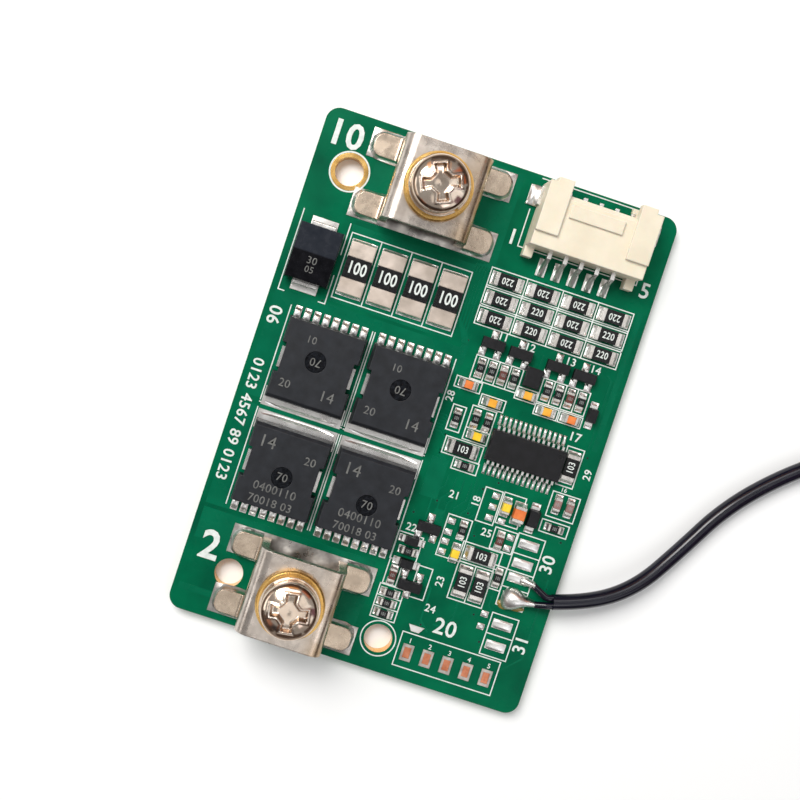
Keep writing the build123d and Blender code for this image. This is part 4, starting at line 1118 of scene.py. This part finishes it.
# %% Pad cushions
for low, high in solids("small_transistor_leads"):
    found = pad_under(low, high)
    if found:
        solder_shape.pillow(*found[0][:2], *found[1][:2], PAD_TOP - 0.01, 0.2, 3.0, wave=0.1)
controller_low, controller_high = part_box("controller_leads")
for low, high in solids("component_pads"):
    if high[0] - low[0] < 0.5 and high[1] - low[1] > 0.8:
        outward = 1 if low[1] > (controller_low.y + controller_high.y) / 2 / MM else -1
        y0, y1 = (low[1] + 0.45, high[1]) if outward > 0 else (low[1], high[1] - 0.45)
        solder_shape.pillow(low[0], y0, high[0], y1, PAD_TOP - 0.01, 0.2, 3.0)
PAD_RIM = 0.03
for node, height in (("sensor_pads", 0.16), ("spare_pads", 0.12)):
    for low, high in solids(node):
        if high[0] - low[0] < 1.9 or node == "sensor_pads":
            solder_shape.pillow(low[0] + PAD_RIM, low[1] + PAD_RIM, high[0] - PAD_RIM, high[1] - PAD_RIM,
                                high[2] - 0.01, height, 4.0)

print("solder faces so far:", len(solder_shape.faces))

# %% [markdown]
# ## Drops on the header pins
# Behind the header the solder climbs each pin from its pad. The drop is a surface through half-round
# sections along the pin: each station gives the distance, half width, foot and crest.

# %% Header pin drops
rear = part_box("header_housing")[0].y / MM + 1.3
for low, high in solids("header_pins"):
    x = (low[0] + high[0]) / 2
    stations = ((3.0, 0.20, PAD_TOP, 1.74), (2.85, 0.31, PAD_TOP, 2.05), (2.5, 0.37, PAD_TOP, 2.42),
                (2.1, 0.38, PAD_TOP, 2.62), (1.8, 0.36, PAD_TOP, 2.95), (1.5, 0.32, 2.3, 3.42),
                (1.2, 0.28, 3.0, 3.9), (0.95, 0.26, 3.5, 4.16))
    rows = []
    for distance, half, bottom, top in stations:
        rows.append([(x + half * math.cos(math.pi * k / 8), rear - distance,
                      bottom + (top - bottom) * math.sin(math.pi * k / 8)) for k in range(9)])
    solder_shape.skin(rows)

print("solder faces so far:", len(solder_shape.faces))

# %% [markdown]
# ## Solder on the header's anchors
# Two sheet anchors hold the header at its sides against the pull of the plug. Solder is banked over them,
# as a cushion with an uneven surface.

# %% Anchor solder
for low, high in solids("header_anchors"):
    solder_shape.pillow(low[0] - 0.05, low[1] - 0.1, high[0] + 0.05, high[1] + 0.1,
                        PAD_TOP + 0.25, 0.35, 3.0, wave=0.1)

print("solder faces so far:", len(solder_shape.faces))

# %% [markdown]
# ## Skirts round the bridge feet
# The bridges carry the full current, so their feet are set in plenty of solder. A skirt follows the
# outline of each foot, from the sheet's edge down to the pad, and its reach varies at random.

# %% Foot skirts
FOOT_OFFSET = 3.675
SKIRT = ((-0.02, 0.86), (0.07, 0.5), (0.2, 0.22), (0.42, 0.005))
for side in ("negative", "positive"):
    low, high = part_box(side + "_bridge")
    middle_x, middle_y = (low.x + high.x) / 2 / MM, (low.y + high.y) / 2 / MM
    for sx in (-1, 1):
        for sy in (-1, 1):
            foot_y = middle_y + sy * FOOT_OFFSET
            line = [(5.35, -1.425), (6.4, -1.425), (7.5, -1.425)]
            line += [(7.5 + 1.1 * math.sin(a), -0.325 - 1.1 * math.cos(a)) for a in (0.4, 0.8, 1.2, 1.57)]
            line += [(x, -y) for x, y in reversed(line)]
            rows = []
            for spread, rise in SKIRT:
                row = []
                for i, (x, y) in enumerate(line):
                    before, after = line[max(0, i - 1)], line[min(len(line) - 1, i + 1)]
                    dx, dy = after[0] - before[0], after[1] - before[1]
                    size = math.hypot(dx, dy)
                    reach = spread * random.uniform(0.85, 1.15)
                    row.append((middle_x + sx * (x + dy / size * reach), foot_y + y - dx / size * reach,
                                PAD_TOP + rise))
                rows.append(row if sx > 0 else row[::-1])
            solder_shape.skin(rows)
solder_piece = solder_shape.piece("solder_fillets", "solder", smooth=True)
solder_piece.data.materials.append(solder.material)

# %% [markdown]
# ## Coat on the terminal pads
# The long terminal pads are flooded with solder by hand, and it sets dull and wavy. A sculpted mesh would
# do, but a grid raised by a few dozen random swellings is quicker and comes out the same on each run.

# %% Terminal coat
coat = Shape()
for low, high in solids("terminal_pads"):
    rows = []
    across, along = 10, 44
    bumps = [(random.uniform(low[0], high[0]), random.uniform(low[1], high[1]), random.uniform(0.5, 1.3),
              random.uniform(0.03, 0.16)) for _ in range(26)]
    for i in range(across + 1):
        v = i / across
        row = []
        for j in range(along + 1):
            u = j / along
            x, y = low[0] + u * (high[0] - low[0]), low[1] + v * (high[1] - low[1])
            edge = min(1.0, min(u, 1 - u) * along / 2, min(v, 1 - v) * across / 1.5)
            swell = sum(h * math.exp(-((x - bx) ** 2 + (y - by) ** 2) / (r * r)) for bx, by, r, h in bumps)
            row.append((x, y, high[2] + 0.002 + edge * (0.03 + swell)))
        rows.append(row)
    coat.skin(rows)
coat_piece = coat.piece("terminal_solder_coat", "tin", smooth=True)
coat_piece.data.materials.append(dull_solder.material)

# %% [markdown]
# ## Joints of the sensor lead
# The two cores are soldered on by hand, each in a drop that tapers towards its wire. The CAD has plain
# solids there. Here each drop is a surface through half-round stations, and it takes their place.

# %% Sensor joints
joint_shape = Shape()
swing = [math.pi * k / 14 for k in range(15)]
rows = []
for along, half, top in (
    (-1.05, 0.15, 0.05), (-0.95, 0.75, 0.45), (-0.65, 1.2, 0.95), (-0.15, 1.42, 1.35), (0.5, 1.38, 1.52),
    (1.1, 1.12, 1.5), (1.6, 0.82, 1.36), (2.1, 0.62, 1.3), (2.55, 0.5, 1.34), (2.95, 0.42, 1.38),
):
    x = 17.2 + along
    y = -18.3 + 0.12 * along
    bottom = PAD_TOP if along < 1.4 else PAD_TOP + (along - 1.4) * 0.38
    rows.append([(x, y + half * math.cos(a), bottom + (PAD_TOP + top - bottom) * math.sin(a)) for a in swing])
joint_shape.skin(rows)
rows = []
for along, half, bottom, top in ((-0.95, 0.1, 0.0, 0.05), (-0.8, 0.42, 0.0, 0.32), (-0.4, 0.55, 0.0, 0.55),
                                 (0.1, 0.5, 0.0, 0.8), (0.5, 0.46, 0.2, 1.05), (0.82, 0.44, 0.45, 1.3)):
    rows.append([(18.6 + along, -15.76 + half * math.cos(math.pi * k / 10),
                  PAD_TOP + bottom + (top - bottom) * math.sin(math.pi * k / 10)) for k in range(11)])
joint_shape.skin(rows)
joint_piece = joint_shape.piece("sensor_joint_drops", "solder", smooth=True)
joint_piece.data.materials.append(solder.material)
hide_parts("sensor_joints")

# %% [markdown]
# ## Flux residue
# Hand soldering leaves flux beside the joints, a brown, glassy puddle. Each is a low dome whose outline
# waves a little, so that it doesn't look like a button.

# %% Flux residue
residue = Shape()
turns = [math.pi * k / 16 for k in range(32)]
for x, y, half_x, half_y, height in ((16.85, -19.3, 0.95, 0.55, 0.36), (18.2, -19.25, 1.2, 0.4, 0.26)):
    rows = []
    for ring_index in range(7):
        share = ring_index / 6
        rows.append([(x + half_x * share * math.cos(a) * (1 + 0.07 * math.sin(3 * a)),
                      y + half_y * share * math.sin(a) * (1 + 0.07 * math.sin(3 * a)),
                      BOARD_TOP + 0.03 + height * (1 - share ** 2.5)) for a in turns])
    residue.skin(rows, closed=True)
residue_piece = residue.piece("flux_residue", "solder", smooth=True)
residue_piece.data.materials.append(flux.material)
print("flux residue faces:", len(residue.faces))

# %% [markdown]
# ## Terminal screws
# The pan heads are the brightest things on the board, and their cross recess, pressed rim and thread are
# what the eye checks first. Booleans and a screw modifier could cut them, but leave ragged shading. Here
# the head is one surface in polar rings: a dome, less the depth of the recess at that spot. The thread is
# a tube whose radius follows a saw wave round a helix. Recess walls and rim then get the darker steel.

# %% Screws
def smooth(value):
    value = max(0.0, min(1.0, value))
    return value * value * (3 - 2 * value)


THREAD_PITCH = 0.7
THREAD_DEPTH = 0.36
THREAD_RADIUS = 2.0
RECESS_EDGE = 2.7


def screw(name, turn):
    low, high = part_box(name)
    x, y = (low.x + high.x) / 2 / MM, (low.y + high.y) / 2 / MM
    end, top = low.z / MM, high.z / MM + 0.12
    seat = top - 2.62
    radius, edge = (high.x - low.x) / 2 / MM, 1.0
    steps = 256
    shape = Shape()

    def dome(r):
        return top - 0.92 * (r / radius) ** 2 - 0.26 * (r / radius) ** 12

    def recess(px, py):
        u, v = abs(px), abs(py)
        arms = min(max(v - 0.50 - 0.11 * u, u - 2.2), max(u - 0.50 - 0.11 * v, v - 2.2),
                   (u + v - 1.85) / 1.414)
        r = math.hypot(px, py)
        depth = 0.72 + 0.32 * max(0.0, 1 - r / 2.3)
        lip = 0.08 * smooth(1 - abs(arms - 0.06) / 0.22)
        return depth * smooth(-arms / 0.34) - lip

    rows = []
    for k in range(79):
        r = radius * (k / 78) if k else 0.004
        row = []
        for i in range(steps):
            angle = 2 * math.pi * i / steps
            cut = recess(r * math.cos(angle), r * math.sin(angle)) if r < RECESS_EDGE else 0.0
            row.append((r, angle + turn, dome(r) - cut))
        rows.append(row)
    for r, z in ((radius + 0.02, seat + edge), (radius, seat + 0.25), (radius - 0.12, seat + 0.06),
                 (radius - 0.3, seat), (THREAD_RADIUS, seat)):
        rows.append([(r, 2 * math.pi * i / steps + turn, z) for i in range(steps)])
    head = [[(x + r * math.cos(a), y + r * math.sin(a), z) for r, a, z in row] for row in rows]
    shape.skin(head, closed=True)
    rows = []
    levels = 96
    for k in range(levels + 1):
        z = seat - (seat - end) * k / levels
        row = []
        for i in range(48):
            angle = 2 * math.pi * i / 48
            phase = (z / THREAD_PITCH + i / 48) % 1.0
            groove = THREAD_DEPTH * (1 - abs(2 * phase - 1)) * smooth((seat - 1.0 - z) / 0.4)
            r = THREAD_RADIUS - groove - 0.35 * smooth((end + 0.4 - z) / 0.4)
            row.append((x + r * math.cos(angle), y + r * math.sin(angle), z))
        rows.append(row)
    rows.append([(x + 0.02 * math.cos(2 * math.pi * i / 48), y + 0.02 * math.sin(2 * math.pi * i / 48), end)
                 for i in range(48)])
    shape.skin(rows, closed=True)
    piece = shape.piece(name + "_detailed", "steel", smooth=True)
    piece.data.materials.append(steel.material)
    piece.data.materials.append(shade_and_reflection_steel.material)
    # Recess walls get painted shade and the rim a painted dark reflection, both in the darker steel.
    for polygon in piece.data.polygons:
        px, py, pz = polygon.center / MM
        r = math.hypot(px - x, py - y)
        on_wall = r < RECESS_EDGE and 0.14 < dome(r) - pz < 0.6
        on_rim = pz > seat + 1.3 and 0.88 < r / radius < 0.96
        if on_wall or on_rim:
            polygon.material_index = 1
    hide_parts(name)


screw("negative_screw", math.radians(22))
screw("positive_screw", math.radians(8))

# %% [markdown]
# ## The sensor lead
# The lead is a soft round cable that lies in loose curves on the table. A simulation would settle it
# anywhere. A NURBS curve through the same points as the part's own sleeve keeps it where the solids are,
# and takes the sleeve's place.

# %% Sensor lead
sleeve_points = [
    (22.0, -16.9, 3.0), (26.4, -15.6, 2.85), (31.6, -12.1, 2.1), (35.4, -6.4, 1.3), (39.2, 0.4, 1.15),
    (44.6, 6.3, 1.2), (51.0, 11.2, 1.25), (57.4, 15.0, 1.25),
]
lead = bpy.data.curves.new("sensor_lead", "CURVE")
lead.dimensions = "3D"
lead.bevel_depth = 0.95 * MM
lead.bevel_resolution = 8
lead.resolution_u = 12
lead.use_fill_caps = True
spline = lead.splines.new("NURBS")
spline.points.add(len(sleeve_points) - 1)
for point, (x, y, z) in zip(spline.points, sleeve_points):
    point.co = (x * MM, y * MM, z * MM, 1)
spline.order_u = 3
spline.use_endpoint_u = True
lead_thing = bpy.data.objects.new("sensor_lead", lead)
bpy.context.collection.objects.link(lead_thing)
lead_thing.data.materials.append(cable.material)
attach(lead_thing, "root")
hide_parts("sensor_sleeve")
print("sensor lead through", len(sleeve_points), "points")

# %% [markdown]
# ## A pale floor
# A product photograph is taken on a sheet of matt white paper. A large plane does the same, just under
# the board, so that it catches the shadow without touching.

# %% Floor
FLOOR_REACH, FLOOR_LEVEL = 1.2, -0.00005
floor_mesh = bpy.data.meshes.new("floor")
floor_corners = [(x * FLOOR_REACH, y * FLOOR_REACH, FLOOR_LEVEL)
                 for x, y in ((-1, -1), (1, -1), (1, 1), (-1, 1))]
floor_mesh.from_pydata(floor_corners, [], [[0, 1, 2, 3]])
floor = bpy.data.objects.new("floor", floor_mesh)
bpy.context.collection.objects.link(floor)
floor_finish = Finish("floor_paper", (0.96, 0.96, 0.96), 0.0, 0.85)
floor_mesh.materials.append(floor_finish.material)
floor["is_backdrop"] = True
print("floor is", 2 * FLOOR_REACH, "m wide")

# %% [markdown]
# ## Soft light
# The photograph has soft, even light from above with one stronger side. Point lamps would give hard spots
# on the metal. Three area lights give wide, soft highlights: a warm key, a weak cool fill and one from
# above. They are hidden from the camera.

# %% Lights
def area(name, place, target, size, power, colour):
    light = bpy.data.lights.new(name, "AREA")
    light.shape = "RECTANGLE"
    light.size, light.size_y = size
    light.energy = power
    light.color = colour
    thing = bpy.data.objects.new(name, light)
    thing.location = place
    direction = Vector(target) - Vector(place)
    thing.rotation_euler = direction.to_track_quat("-Z", "Y").to_euler()
    bpy.context.collection.objects.link(thing)
    thing.visible_camera = False
    return thing


area("key_light", (-0.16, 0.14, 0.28), (0.0, 0.0, 0.0), (0.18, 0.18), 1.05, (1.0, 0.985, 0.96))
area("fill_light", (0.22, -0.06, 0.24), (0.0, 0.0, 0.0), (0.25, 0.25), 0.16, (0.96, 0.98, 1.0))
area("top_light", (-0.05, 0.22, 0.36), (0.0, 0.0, 0.0), (0.3, 0.12), 0.28, (1.0, 1.0, 1.0))
print("lights:", len(bpy.data.lights))

# %% [markdown]
# ## Cards for the metal to mirror
# Bright metal looks like whatever stands round it. In an empty studio the screws would be plain white.
# Photographers hold coloured cards beside metal, and this does the same: dark, brown, amber and pale
# cards that only reflections see, so that they neither show nor colour the board.

# %% Reflection cards
def card(name, place, size, colour, glow=(1, 1, 1), strength=0.0):
    """A coloured card that only reflections see; it gives bright metal something to mirror."""
    mesh = bpy.data.meshes.new(name)
    half_x, half_y = size[0] / 2, size[1] / 2
    corners = [(x * half_x, y * half_y, 0) for x, y in ((-1, -1), (1, -1), (1, 1), (-1, 1))]
    mesh.from_pydata(corners, [], [[0, 1, 2, 3]])
    thing = bpy.data.objects.new(name, mesh)
    thing.location = place
    direction = -Vector(place)
    thing.rotation_euler = direction.to_track_quat("Z", "Y").to_euler()
    bpy.context.collection.objects.link(thing)
    paint = Finish(name + "_paint", colour, 0.0, 0.9)
    paint.set(Emission_Color=(*glow, 1), Emission_Strength=strength)
    mesh.materials.append(paint.material)
    thing.visible_camera = False
    thing.visible_shadow = False
    thing.visible_diffuse = False
    thing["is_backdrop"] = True
    return thing


card("lens_card", (-0.012, 0.006, 0.17), (0.022, 0.022), (0.02, 0.02, 0.02))
card("amber_card", (-0.038, 0.116, 0.10), (0.11, 0.05), (0.95, 0.42, 0.12))
card("rust_card", (0.075, 0.095, 0.09), (0.08, 0.06), (0.55, 0.17, 0.08))
card("plum_card", (0.14, -0.02, 0.08), (0.05, 0.12), (0.16, 0.07, 0.10))
card("dark_card", (-0.01, -0.15, 0.09), (0.14, 0.04), (0.03, 0.025, 0.03))
WALL_DISTANCE = 0.13
for index, degrees in enumerate((-125, -80, -35, 10, 55, 100)):
    angle = math.radians(degrees)
    card(f"wall_{index + 1}", (WALL_DISTANCE * math.cos(angle), WALL_DISTANCE * math.sin(angle), 0.036),
         (0.095, 0.05), (0.07, 0.045, 0.035))
card("brown_card", (-0.09, -0.13, 0.08), (0.06, 0.06), (0.34, 0.15, 0.09))
card("left_card", (-0.15, -0.03, 0.07), (0.13, 0.035), (0.9, 0.9, 0.9), (1.0, 0.98, 0.95), 1.2)
card("right_sky_card", (0.07, 0.05, 0.2), (0.09, 0.09), (0.9, 0.9, 0.9), (1.0, 0.98, 0.95), 0.3)
card("pale_card", (0.075, -0.085, 0.12), (0.05, 0.04), (0.9, 0.9, 0.9), (0.95, 0.93, 1.0), 1.3)
card("sky_card", (0.03, -0.075, 0.2), (0.13, 0.07), (0.9, 0.9, 0.9), (1.0, 0.97, 0.93), 0.3)

# %% [markdown]
# ## Light from all round
# White walls fill the shadows of a studio. A picture of a room could light the scene too, but it would
# show in the metal. A plain white world, at about a third of full strength, fills the shadows evenly.

# %% World
world = bpy.data.worlds.new("studio")
bpy.context.scene.world = world
world.use_nodes = True
background = world.node_tree.nodes["Background"]
background.inputs["Color"].default_value = (1.0, 1.0, 1.0, 1)
background.inputs["Strength"].default_value = 0.36
print("world strength:", round(background.inputs["Strength"].default_value, 2))

# %% [markdown]
# ## Camera
# The camera stands above the board and looks almost straight down. Its place and lens are fitted to the
# photograph, so that render and photograph can be laid over each other and compared. The lens shift moves
# the board in the picture without tilting the view.

# %% Camera
camera_data = bpy.data.cameras.new("camera")
camera_data.lens = 46.12365
camera_data.sensor_width = 36.0
camera_data.shift_x = 0.0625
camera_data.shift_y = -0.0625
camera_data.clip_start = 0.005
camera = bpy.data.objects.new("camera", camera_data)
bpy.context.collection.objects.link(camera)
turn = Matrix(((0.949145, -0.313822, -0.025281),
               (0.314241, 0.94923, 0.014645),
               (0.019402, -0.021844, 0.999573)))
camera.matrix_world = Matrix.Translation((-0.0140558, 0.0062754, 0.1263025)) @ turn.to_4x4()
bpy.context.scene.camera = camera
bpy.context.scene.view_settings.view_transform = "Standard"
print("camera lens:", round(camera_data.lens, 2), "mm")

# %% [markdown]
# ## Sizes
# The dressed part should be as large as the solids. Its box is measured here.

# %% Sizes
low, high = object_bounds()
